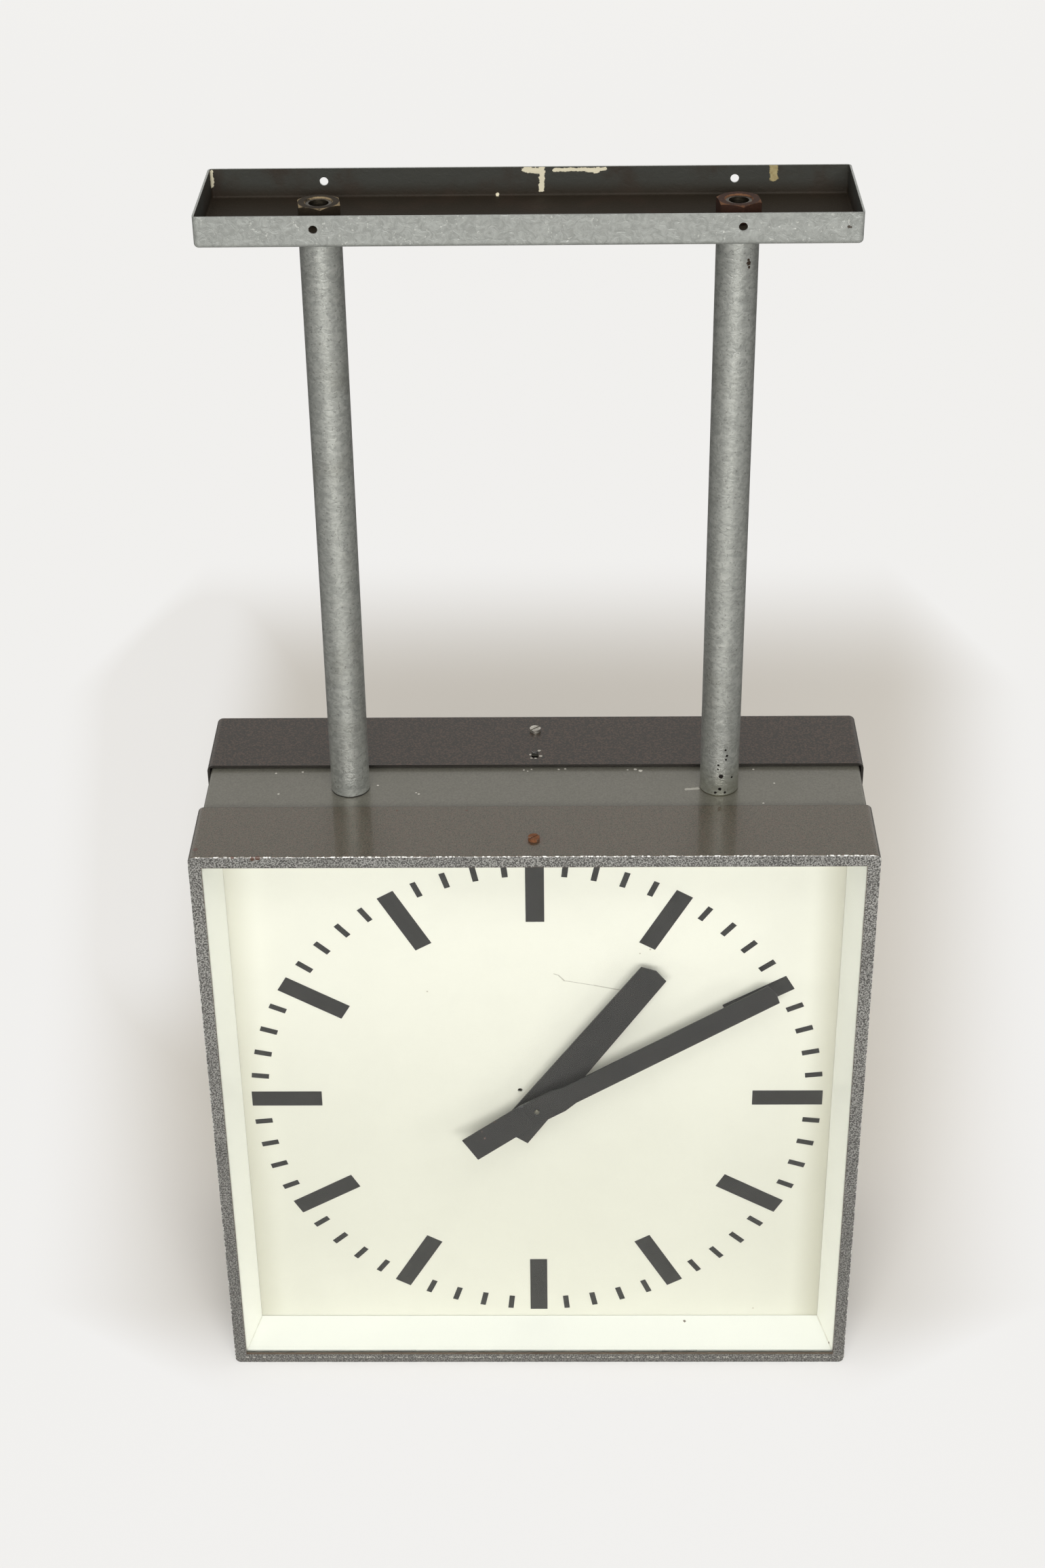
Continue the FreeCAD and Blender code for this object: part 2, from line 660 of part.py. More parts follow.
def dial_brackets():
    """Angles welded in the ring, eight behind each dial."""
    piece = body("dial_brackets", 0, half_side)
    features = []
    for offset in (-s.dial_screw_offset, s.dial_screw_offset):
        profile = sketch(piece, "YZ_Plane", offset)
        for face in (-1, 1):
            seat = dial_back * face
            under = (dial_back - s.bracket_sheet) * face
            end = (dial_back - s.bracket_leg) * face
            foot = ring_inner - s.bracket_foot
            leg = ring_inner - s.bracket_sheet
            polygon(profile, [(seat, foot), (seat, ring_inner), (end, ring_inner), (end, leg),
                              (under, leg), (under, foot)])
        features.append(pad(piece, profile, s.bracket_width, symmetric=True))
    holes = sketch(piece, "XZ_Plane", dial_back)
    circles(holes, s.dial_screw_radius + s.thread_clear, dial_screw_places())
    features.append(pocket(piece, holes))
    polar(piece, features, 4)


def screws(label, places, radius, head_radius, seat, head, length, repeat=1):
    """Screws on both sides of the clock: each head stands in front of its seat."""
    piece = body(label, 0, half_side)
    features = []
    for back, front, size in ((seat - length, seat, radius), (seat, seat + head, head_radius),
                              (-seat, length - seat, radius), (-seat - head, -seat, head_radius)):
        section = sketch(piece, "XZ_Plane", back)
        circles(section, size, places)
        features.append(pad(piece, section, front - back))
    if repeat > 1:
        polar(piece, features, repeat)


# ---------------------------------------------------------------- movement, fixed pieces

def bar_screw_places():
    return [(s.bar_screw_out * x, s.bar_screw_up * z) for x in (-1, 1) for z in (-1, 1)]


def pillar_places():
    return [(s.pillar_place * x, s.pillar_place * z) for x in (-1, 1) for z in (-1, 1)]


def movement_bar(side, turn):
    """A strap across the ring, with its ends turned back along the ring's walls."""
    piece = body(f"{side}_movement_bar", turn, half_side)
    outline = sketch(piece, "XY_Plane", -s.bar_height / 2)
    end = -bar_back + s.bar_end_leg
    inner = ring_inner - s.bar_thick
    polygon(outline, [(-ring_inner, -bar_front), (ring_inner, -bar_front), (ring_inner, end),
                      (inner, end), (inner, -bar_back), (-inner, -bar_back), (-inner, end),
                      (-ring_inner, end)])
    pad(piece, outline, s.bar_height)
    holes = sketch(piece, "XZ_Plane", bar_front)
    circles(holes, s.bar_hole_radius, [(0, 0)])
    circles(holes, s.bar_screw_radius + s.screw_clear, bar_screw_places())
    pocket(piece, holes, s.bar_thick * 2)


def front_plate(side, turn):
    """The plate behind the dial, with the stud that carries the intermediate wheel."""
    piece = body(f"{side}_front_plate", turn, half_side)
    outline = sketch(piece, "XZ_Plane", plate_back)
    square(outline, s.plate_half)
    pad(piece, outline, s.plate_thick)
    holes = sketch(piece, "XZ_Plane", plate_front)
    circles(holes, s.arbor_radius + s.running_clear, [(0, 0)])
    circles(holes, s.rotor_arbor_radius + s.running_clear, [(0, -rotor_distance)])
    circles(holes, s.bar_screw_radius + s.thread_clear, bar_screw_places())
    circles(holes, s.plate_screw_radius + s.thread_clear, pillar_places())
    pocket(piece, holes)
    stud = sketch(piece, "XZ_Plane", plate_front)
    circles(stud, s.stud_radius, [(0, motion_distance)])
    pad(piece, stud, hour_wheel_back + s.motion_step - plate_front)


def back_plate(side, turn):
    """The plate nearer the middle of the case, with the posts under the stator."""
    piece = body(f"{side}_back_plate", turn, half_side)
    outline = sketch(piece, "XZ_Plane", rear_plate_back)
    square(outline, s.plate_half)
    pad(piece, outline, s.plate_thick)
    holes = sketch(piece, "XZ_Plane", rear_plate_front)
    circles(holes, s.arbor_radius + s.running_clear, [(0, 0)])
    circles(holes, s.rotor_arbor_radius + s.running_clear, [(0, -rotor_distance)])
    circles(holes, s.plate_screw_radius + s.thread_clear, pillar_places())
    pocket(piece, holes)
    posts = sketch(piece, "XZ_Plane", rear_plate_front)
    leg = s.stator_out - s.stator_leg / 2
    foot = -rotor_distance
    top = s.stator_top - s.stator_leg
    circles(posts, s.stator_post_radius, [(-leg, top), (leg, top), (-leg, foot), (leg, foot)])
    pad(piece, posts, s.stator_post_height)


def pillars():
    piece = body("plate_pillars", 0, half_side)
    for back in (rear_plate_front, -plate_back):
        section = sketch(piece, "XZ_Plane", back)
        circles(section, s.pillar_radius, pillar_places())
        circles(section, s.plate_screw_radius + s.thread_clear, pillar_places())
        pad(piece, section, s.plate_gap)


def plate_screws():
    """Screws at both ends of every pillar."""
    piece = body("plate_screws", 0, half_side)
    head = s.plate_screw_head_height
    length = s.plate_screw_length
    for seat, outward in ((plate_front, 1), (rear_plate_back, -1)):
        for face in (1, -1):
            direction = outward * face
            for start, end, radius in ((-length, 0, s.plate_screw_radius),
                                       (0, head, s.plate_screw_head_radius)):
                reaches = sorted([seat * face + start * direction, seat * face + end * direction],
                                 key=float)
                section = sketch(piece, "XZ_Plane", reaches[0])
                circles(section, radius, pillar_places())
                pad(piece, section, reaches[1] - reaches[0])


def stator(side, turn):
    """A laminated U: the coil's core along the top and a split pole round the rotor."""
    piece = body(f"{side}_stator", turn, half_side)
    outline = sketch(piece, "XZ_Plane", rear_plate_front + s.stator_post_height)
    outer = s.stator_out
    inner = s.stator_out - s.stator_leg
    split = s.pole_split / 2
    top = s.stator_top
    core = s.stator_top - s.core_height
    pole_top = -rotor_distance + s.pole_height / 2
    pole_low = -rotor_distance - s.pole_height / 2
    polygon(outline, [(-outer, top), (outer, top), (outer, pole_low), (split, pole_low),
                      (split, pole_top), (inner, pole_top), (inner, core), (-inner, core),
                      (-inner, pole_top), (-split, pole_top), (-split, pole_low),
                      (-outer, pole_low)])
    pad(piece, outline, s.stator_thick)
    bore = sketch(piece, "XZ_Plane", rear_plate_front + s.stator_post_height + s.stator_thick)
    circles(bore, s.magnet_radius + s.air_gap, [(0, -rotor_distance)])
    pocket(piece, bore)


def bobbin(side, turn):
    piece = body(f"{side}_bobbin", turn, half_side)
    middle = [(-coil_reach, coil_up)]
    for offset, radius, length in (
            (0, s.bobbin_radius, s.coil_length),
            ((s.bobbin_flange - s.coil_length) / 2, s.bobbin_flange_radius, s.bobbin_flange),
            ((s.coil_length - s.bobbin_flange) / 2, s.bobbin_flange_radius, s.bobbin_flange)):
        section = sketch(piece, "YZ_Plane", offset)
        circles(section, radius, middle)
        pad(piece, section, length, symmetric=True)
    tunnel = sketch(piece, "YZ_Plane", 0)
    half_thick = s.stator_thick / 2 + s.bobbin_clear
    half_high = s.core_height / 2 + s.bobbin_clear
    rectangle(tunnel, -coil_reach - half_thick, coil_up - half_high,
              -coil_reach + half_thick, coil_up + half_high)
    pocket(piece, tunnel, s.coil_length * 2, symmetric=True)


def winding(side, turn):
    piece = body(f"{side}_winding", turn, half_side)
    section = sketch(piece, "YZ_Plane", 0)
    circles(section, s.coil_radius, [(-coil_reach, coil_up)])
    circles(section, s.bobbin_radius + s.thread_clear, [(-coil_reach, coil_up)])
    length = s.coil_length - s.bobbin_flange * 2 - s.thread_clear * 2
    pad(piece, section, length, symmetric=True)


# ---------------------------------------------------------------- movement, turning pieces

def minute_arbor(side, turn):
    """The steel arbor with its cannon pinion and a domed tip in front of the hand."""
    tip = minute_hand_back + s.hand_sheet + s.arbor_tip
    shaft = rod(s.arbor_radius, rear_plate_back - s.arbor_tail, tip)
    end = [edge for edge in shaft.Edges
           if abs(edge.BoundBox.YMax + float(tip)) < 1e-6 and edge.Closed]
    shaft = shaft.makeFillet(float(s.arbor_dome), end)
    pinion = gear(CANNON_TEETH, cannon_back, s.cannon_length)
    solid(f"{side}_minute_arbor", shaft.fuse(pinion).removeSplitter(), turn, half_side)


def minute_wheel(side, turn):
    """The wheel that the rotor drives, lightened by four round windows."""
    wheel = gear(MINUTE_TEETH, minute_wheel_back, s.gear_thick)
    hub = rod(s.hub_radius, minute_wheel_back - s.hub_length, minute_wheel_back)
    front = minute_wheel_back + s.gear_thick + s.overcut
    cuts = [rod(s.arbor_radius + s.thread_clear, minute_wheel_back - s.hub_length - s.overcut,
                front)]
    for quarter in range(4):
        window = rod(s.wheel_window_radius, minute_wheel_back - s.overcut, front)
        window.translate(FreeCAD.Vector(0, 0, float(s.wheel_window_place)))
        window.rotate(FreeCAD.Vector(0, 0, 0), FreeCAD.Vector(0, 1, 0), 45 + 90 * quarter)
        cuts.append(window)
    solid(f"{side}_minute_wheel", wheel.fuse(hub).cut(cuts), turn, half_side)


def minute_collet(side, turn):
    piece = body(f"{side}_minute_collet", turn, half_side)
    section = sketch(piece, "XZ_Plane", minute_hand_back - s.collet_height)
    circles(section, s.collet_radius, [(0, 0)])
    circles(section, s.arbor_radius + s.thread_clear, [(0, 0)])
    pad(piece, section, s.collet_height)


def minute_hand(side, turn):
    """A long sheet blade with a shallow roof tip. Its tail is bent forwards."""
    piece = body(f"{side}_minute_hand", turn, half_side, float(s.minute_angle))
    lean = s.tail_lift / (s.minute_tail - s.tail_bend_start)
    back = -minute_hand_back
    front = back - s.hand_sheet
    reach = s.minute_tail + s.overcut
    end = s.minute_length + s.overcut
    drop = lean * (reach - s.tail_bend_start)
    profile = sketch(piece, "YZ_Plane", 0)
    polygon(profile, [(back, end), (back, -s.tail_bend_start), (back - drop, -reach),
                      (front - drop, -reach), (front, -s.tail_bend_start), (front, end)])
    strip = s.minute_tail_half_width + s.overcut
    pad(piece, profile, strip * 2, symmetric=True)
    outline = sketch(piece, "XZ_Plane", minute_hand_back + s.hand_sheet + s.tail_lift * 2)
    wide = s.minute_tail_half_width
    narrow = s.minute_half_width
    polygon(outline, [(-wide, -s.minute_tail), (wide, -s.minute_tail),
                      (wide, s.minute_waist_start), (narrow, s.minute_waist_end),
                      (narrow, s.minute_shoulder), (0, s.minute_length),
                      (-narrow, s.minute_shoulder), (-narrow, s.minute_waist_end),
                      (-wide, s.minute_waist_start)])
    rectangle(outline, -strip - s.overcut, -reach - s.overcut,
              strip + s.overcut, end + s.overcut)
    circles(outline, s.arbor_radius + s.thread_clear, [(0, 0)])
    pocket(piece, outline)


def hour_wheel(side, turn):
    """The hour wheel with its pipe, which ends in the seat of the hour hand."""
    phase = 180 + 180 / HOUR_TEETH
    wheel = gear(HOUR_TEETH, hour_wheel_back, s.gear_thick, phase)
    front = hour_hand_back + s.hand_sheet
    pipe = rod(pipe_radius, hour_wheel_back - s.pipe_step, front)
    seat = rod(s.collet_radius, hour_hand_back - s.collet_height, hour_hand_back)
    bore = rod(pipe_bore, hour_wheel_back - s.overcut, front + s.overcut)
    shape = wheel.fuse([pipe, seat]).cut(bore).removeSplitter()
    solid(f"{side}_hour_wheel", shape, turn, half_side)


def hour_hand(side, turn):
    angle = FIRST_HOUR + float(s.minute_angle) / HOUR_RATIO
    piece = body(f"{side}_hour_hand", turn, half_side, angle)
    outline = sketch(piece, "XZ_Plane", hour_hand_back)
    wide = s.hour_tail_half_width
    narrow = s.hour_tip_half_width
    polygon(outline, [(-wide, -s.hour_tail), (wide, -s.hour_tail), (narrow, s.hour_shoulder),
                      (0, s.hour_length), (-narrow, s.hour_shoulder)])
    circles(outline, pipe_radius + s.thread_clear, [(0, 0)])
    pad(piece, outline, s.hand_sheet)


def intermediate_wheel(side, turn):
    """The wheel and pinion between the minute arbor and the hour wheel."""
    wheel = gear(WHEEL_TEETH, cannon_back, s.gear_thick, 180 + 180 / WHEEL_TEETH)
    pinion = gear(PINION_TEETH, cannon_back, s.motion_pinion_length, 180)
    bore = rod(s.stud_radius + s.running_clear, cannon_back - s.overcut,
               cannon_back + s.motion_pinion_length + s.overcut)
    shape = wheel.fuse(pinion).cut(bore).removeSplitter()
    solid(f"{side}_intermediate_wheel", shape, turn, half_side + motion_distance)


def rotor(side, turn):
    """The pinion with its arbor, and the magnet that the coil turns."""
    height = half_side - rotor_distance
    arbor = rod(s.rotor_arbor_radius, rear_plate_back, plate_front)
    leaves = gear(ROTOR_TEETH, minute_wheel_back - s.leaf_margin,
                  s.gear_thick + s.leaf_margin * 2, 180 / ROTOR_TEETH)
    solid(f"{side}_rotor_pinion", arbor.fuse(leaves).removeSplitter(), turn, height)
    middle = coil_reach
    half = s.magnet_length / 2
    magnet = rod(s.magnet_radius, middle - half, middle + half)
    bore = rod(s.rotor_arbor_radius + s.thread_clear, middle - half - s.overcut,
               middle + half + s.overcut)
    solid(f"{side}_rotor_magnet", magnet.cut(bore), turn, height)


# ---------------------------------------------------------------- build

ring_band("case_ring", ring_seam, s.case_side)
case_roof()
hanger_tube("hanger_tube_left", -1)
hanger_tube("hanger_tube_right", 1)
tube_end_plugs()
tube_nipples()
lock_nuts()
top_tray()
terminal_block()
dial_brackets()
screws("dial_screws", dial_screw_places(), s.dial_screw_radius, s.dial_screw_head_radius,
       dial_face, s.dial_screw_head_height, s.dial_sheet + s.bracket_sheet * 2, 4)
screws("bar_screws", bar_screw_places(), s.bar_screw_radius, s.bar_screw_head_radius,
       bar_front, s.bar_screw_head_height, s.bar_thick + s.plate_thick)
pillars()
plate_screws()
for side, turn in (("front", 0.0), ("rear", 180.0)):
    cover_shell(side, turn)
    glass(side, turn)
    bezel(side, turn)
    glass_clips(side, turn)
    cover_screw(side, turn)
    cover_nut(side, turn)
    dial(side, turn)
    dial_marks(side, turn)
    movement_bar(side, turn)
    front_plate(side, turn)
    back_plate(side, turn)
    stator(side, turn)
    bobbin(side, turn)
    winding(side, turn)
    minute_arbor(side, turn)
    minute_wheel(side, turn)
    minute_collet(side, turn)
    minute_hand(side, turn)
    hour_wheel(side, turn)
    hour_hand(side, turn)
    intermediate_wheel(side, turn)
    rotor(side, turn)

doc.recompute()
for item in doc.Objects:
    if "Invalid" in item.State or "Error" in item.State:
        raise ValueError(f"{item.Name} failed: {item.State}")
os.makedirs("parts", exist_ok=True)
for label, piece in nodes.items():
    if piece.Shape.isNull() or not piece.Shape.isValid():
        raise ValueError(f"{label} has no valid shape")
    piece.Shape.exportStep(f"parts/{label}.step")
print(len(nodes), "pieces written")
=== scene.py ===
import math

import bpy
from mathutils import Matrix, Vector

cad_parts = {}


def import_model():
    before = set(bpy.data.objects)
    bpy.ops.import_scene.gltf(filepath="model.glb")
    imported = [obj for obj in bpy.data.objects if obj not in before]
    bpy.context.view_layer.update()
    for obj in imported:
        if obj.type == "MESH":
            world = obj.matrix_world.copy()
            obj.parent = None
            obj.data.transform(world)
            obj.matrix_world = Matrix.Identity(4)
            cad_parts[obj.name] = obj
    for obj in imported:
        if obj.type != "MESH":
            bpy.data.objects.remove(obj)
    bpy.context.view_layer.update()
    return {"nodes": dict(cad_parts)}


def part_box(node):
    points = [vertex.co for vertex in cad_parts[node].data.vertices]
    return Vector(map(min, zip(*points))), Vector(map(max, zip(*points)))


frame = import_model()

# The photograph's frame and the camera that fits it, in metres and radians
PHOTO_HEIGHT = 2312
FOCAL_PIXELS = 3779.75
SENSOR_HEIGHT = 24.0
CAMERA_PLACE = Vector((0.0212, -1.6995, 1.5829))
CAMERA_PITCH = -0.55908
CAMERA_YAW = -0.01803
CAMERA_ROLL = -0.01342

SIDES = ("front", "rear")

# Heights and widths of the case that the paint follows, in metres
CASE_MIDDLE = 0.26
WINDOW_HALF = 0.25
LIP_CREASE = 0.0062

# Marks on the paint, in millimetres of the frame. A spot is x, y, z and its radius. A stroke is
# x, y, z of its two ends and its width.
COVER_RUST = ((-255, -92.2, 520, 2.2), (-207, -103, 519.5, 2.0), (-226, -103, 519.5, 1.2),
              (-211, -103, 518.5, 1.6), (-105.7, -38.7, 520, 1.0), (-52, -39, 520, 1.0))
SCREW_STAIN = ((0, -80.7, 520, 7.0),)
LATCH_RIM = ((-3.6, 43.2, 520, 1.0), (4.6, 41, 520, 1.2), (3.4, 49.2, 520, 1.3),
             (-2.6, 38.0, 520, 1.0), (0.6, 37.6, 520, 0.9))
RING_CRUMBS = ((-8.7, 24.8, 516.8, 0.9), (-5.6, 23.3, 516.8, 0.7), (-2.6, 26, 516.8, 0.9),
               (19, 25.8, 516.8, 0.8), (24.1, 26.5, 516.8, 0.9), (73.3, 24.6, 516.8, 0.8),
               (79.5, 25.4, 516.8, 1.2), (83.5, 23.4, 516.8, 1.5), (-90.4, -10, 516.8, 0.9),
               (-92.5, -8, 516.8, 0.7), (172.7, 24.7, 516.8, 0.8), (187.6, 4.1, 516.8, 0.7),
               (177.1, -25, 516.8, 0.8), (-204.7, 21.5, 516.8, 0.8), (-183.7, 23.2, 516.8, 0.9),
               (-199.9, -9.1, 516.8, 0.8), (-123, 2.9, 516.8, 0.9))
RING_SMEAR = ((118.5, -4.6, 516.8, 127, -3.4, 516.8, 3.2),)
TUBE_PITS = ((147.3, -14.8, 558.4, 0.9), (148.5, -14.6, 553.1, 1.0), (147.8, -14.7, 549.7, 0.8),
             (142.1, -14.7, 545, 0.9), (141.8, -14.7, 541.4, 0.8), (144.4, -15, 534.8, 1.9),
             (153.2, -12.5, 532.5, 1.1), (159.8, -2.2, 528.2, 1.2), (143.7, -14.9, 523.4, 1.3),
             (147.9, -14.7, 520.1, 1.0), (140.5, -14.3, 519.9, 1.1))
TUBE_RUST = ((151.4, -13.4, 949.4, 1.7), (151.8, -13.2, 946.6, 1.1), (151.2, -13.5, 952, 1.0))
TRAY_DRIPS = ((9, 48.2, 997, 8.6, 48.2, 981.6, 3.6), (-2.5, 48.2, 996.2, 9, 48.2, 995, 4.4),
              (18, 48.2, 995.8, 53, 48.2, 996.2, 2.6), (40, 48.2, 995.6, 48, 48.2, 994.6, 2.8),
              (-223, 47.8, 996, -223, 47.8, 986.8, 3.2))
TRAY_TAN = ((171, 48.2, 997, 171.2, 48.2, 989.2, 5.6),)
TRAY_DOTS = ((-22.3, 48.2, 978.6, 1.2), (-22.3, 47.6, 977.4, 1.0))
TRAY_CHIP = ((214.5, -49.8, 988.2, 1.1), (215.8, -49.8, 988.0, 0.8))
DIAL_SCRATCH = ((14.4, -67, 384.8, 18.1, -67, 383.3, 0.7),
                (18.1, -67, 383.3, 22.6, -67, 378.1, 1.0),
                (22.6, -67, 378.1, 46.4, -67, 373.4, 0.6),
                (46.4, -67, 373.4, 72, -67, 367.6, 0.8))
DIAL_SPECKS = ((90.1, -67, 408.2, 0.8), (82.1, -67, 404.3, 0.6), (184, -67, 28.6, 0.8),
               (-85.9, -67, 367.9, 0.7))
BEZEL_CHIPS = ((124.7, -68.3, 17.8, 1.3), (125.1, -72.6, 18.8, 1.1), (248.2, -92, 12.5, 1.0),
               (247.6, -90, 507.6, 1.4))
HAND_RUST = ((-44.4, -90.3, 243.5, 0.8), (-37.1, -90.3, 238.9, 0.6), (-42.2, -90.3, 236.9, 0.8))
HAND_SCUFFS = ((-9.5, -84.5, 270.5, 3.2), (-13.5, -84.5, 266.0, 2.6))


def linear(channel):
    """A channel from 0 to 255 as the scene's own light value."""
    share = channel / 255
    return share / 12.92 if share <= 0.04045 else ((share + 0.055) / 1.055) ** 2.4


def tone(red, green, blue):
    """A colour as it should look in the render, from 0 to 255."""
    return (linear(red), linear(green), linear(blue), 1.0)


def at(*millimetres):
    """A place in metres."""
    return tuple(value / 1000 for value in millimetres)


# ---------------------------------------------------------------- node materials

class Paint:
    """A node material. Its textures are placed in the frame's own metres."""

    def __init__(self, name, roughness, metallic=0.0):
        self.material = bpy.data.materials.new(name)
        self.material.use_nodes = True
        self.tree = self.material.node_tree
        self.shader = self.tree.nodes["Principled BSDF"]
        self.shader.inputs["Roughness"].default_value = roughness
        self.shader.inputs["Metallic"].default_value = metallic
        self.place = self.node("ShaderNodeTexCoord").outputs["Object"]

    def node(self, kind, **settings):
        """Adds a node with its settings."""
        made = self.tree.nodes.new(kind)
        for name, value in settings.items():
            setattr(made, name, value)
        return made

    def feed(self, socket, value):
        """Links a socket to the input, or sets a plain value on it."""
        if isinstance(value, bpy.types.NodeSocket):
            self.tree.links.new(value, socket)
        else:
            socket.default_value = value

    def set(self, name, value):
        """Feeds an input of the shader."""
        self.feed(self.shader.inputs[name], value)

    def math(self, operation, first, second=0.0, clamp=False):
        """One operation on two numbers."""
        made = self.node("ShaderNodeMath", operation=operation, use_clamp=clamp)
        self.feed(made.inputs[0], first)
        self.feed(made.inputs[1], second)
        return made.outputs[0]

    def vector(self, operation, first, second, output="Vector"):
        """One operation on a vector and a second vector or a scale."""
        made = self.node("ShaderNodeVectorMath", operation=operation)
        self.feed(made.inputs[0], first)
        self.feed(made.inputs["Scale" if operation == "SCALE" else 1], second)
        return made.outputs[output]

    def top(self, *masks):
        """Where any of the masks is."""
        whole = masks[0]
        for mask in masks[1:]:
            whole = self.math("MAXIMUM", whole, mask)
        return whole

    def both(self, *masks):
        """Where all of the masks are."""
        whole = masks[0]
        for mask in masks[1:]:
            whole = self.math("MULTIPLY", whole, mask)
        return whole

    def faint(self, mask, share):
        """A mask at a share of its strength."""
        return self.math("MULTIPLY", mask, share)

    def gap(self, first, second):
        """How far two values are apart."""
        return self.math("ABSOLUTE", self.math("SUBTRACT", first, second))

    def span(self, value, low, high, start=0.0, end=1.0):
        """Maps low to high smoothly onto start to end."""
        made = self.node("ShaderNodeMapRange", interpolation_type="SMOOTHSTEP")
        self.feed(made.inputs["Value"], value)
        made.inputs["From Min"].default_value = low
        made.inputs["From Max"].default_value = high
        made.inputs["To Min"].default_value = start
        made.inputs["To Max"].default_value = end
        return made.outputs["Result"]

    def mix(self, share, first, second):
        """The first colour, turning into the second as the share grows."""
        made = self.node("ShaderNodeMix", data_type="RGBA")
        self.feed(made.inputs["Factor"], share)
        self.feed(made.inputs[6], first)
        self.feed(made.inputs[7], second)
        return made.outputs[2]

    def stretched(self, scale):
        """The place with each axis scaled, so that a pattern runs along one of them."""
        made = self.node("ShaderNodeMapping")
        self.feed(made.inputs["Vector"], self.place)
        made.inputs["Scale"].default_value = scale
        return made.outputs["Vector"]

    def noise(self, grain, detail=3.0, rough=0.55, bend=0.0, place=None):
        """Soft noise whose patches are about one grain, in metres, across."""
        made = self.node("ShaderNodeTexNoise")
        self.feed(made.inputs["Vector"], place or self.place)
        made.inputs["Scale"].default_value = 1 / grain
        made.inputs["Detail"].default_value = detail
        made.inputs["Roughness"].default_value = rough
        made.inputs["Distortion"].default_value = bend
        return made.outputs["Fac"]

    def ridges(self, grain, width, place=None):
        """Thin winding lines about one grain apart."""
        away = self.gap(self.noise(grain, 2.0, place=place), 0.5)
        return self.span(away, 0.0, width, 1, 0)

    def specks(self, grain, share):
        """Small scattered dots."""
        return self.span(self.noise(grain, 1.0), 1 - share, 1 - share + 0.03)

    def axis(self, letter):
        """The place along an axis."""
        made = self.node("ShaderNodeSeparateXYZ")
        self.feed(made.inputs[0], self.place)
        return made.outputs[letter]

    def apart(self, letter, middle=0.0):
        """How far a point is from the middle along an axis."""
        return self.gap(self.axis(letter), middle)

    def facing(self, letter):
        """How far the surface points along an axis of the frame, either way."""
        made = self.node("ShaderNodeSeparateXYZ")
        self.feed(made.inputs[0], self.node("ShaderNodeTexCoord").outputs["Normal"])
        return self.math("ABSOLUTE", made.outputs[letter])

    def blot(self, away, wobble, radius, ragged):
        """1 within a ragged radius, 0 outside."""
        reach = self.math("ADD", away, self.faint(wobble, radius * ragged * 2))
        return self.span(reach, radius * (0.85 + ragged), radius * (1.15 + ragged), 1, 0)

    def spots(self, places, ragged=0.5, grain=0.002):
        """Ragged dots at the listed places."""
        wobble = self.noise(grain)
        return self.top(*(
            self.blot(self.vector("DISTANCE", self.place, at(x, y, z), "Value"), wobble,
                      radius / 1000, ragged)
            for x, y, z, radius in places))

    def strokes(self, places, ragged=0.5, grain=0.003):
        """Ragged lines between the listed pairs of places."""
        wobble = self.noise(grain)
        masks = []
        for row in places:
            start = Vector(at(*row[:3]))
            run = Vector(at(*row[3:6])) - start
            offset = self.vector("SUBTRACT", self.place, start)
            share = self.vector("DOT_PRODUCT", offset, run / run.length_squared, "Value")
            nearest = self.vector("SCALE", run, self.math("ADD", share, 0.0, clamp=True))
            away = self.vector("DISTANCE", offset, nearest, "Value")
            masks.append(self.blot(away, wobble, row[6] / 2000, ragged))
        return self.top(*masks)

    def bump(self, height, strength, depth):
        """A fine relief that only the light sees."""
        made = self.node("ShaderNodeBump")
        self.feed(made.inputs["Height"], height)
        made.inputs["Strength"].default_value = strength
        made.inputs["Distance"].default_value = depth
        self.set("Normal", made.outputs["Normal"])


RUST = tone(74, 44, 30)
DIAL_CREAM = tone(241, 241, 226)
BEZEL_CREAM = tone(250, 251, 241)
WARM_GLOSS = (1.0, 0.95, 0.88, 1.0)


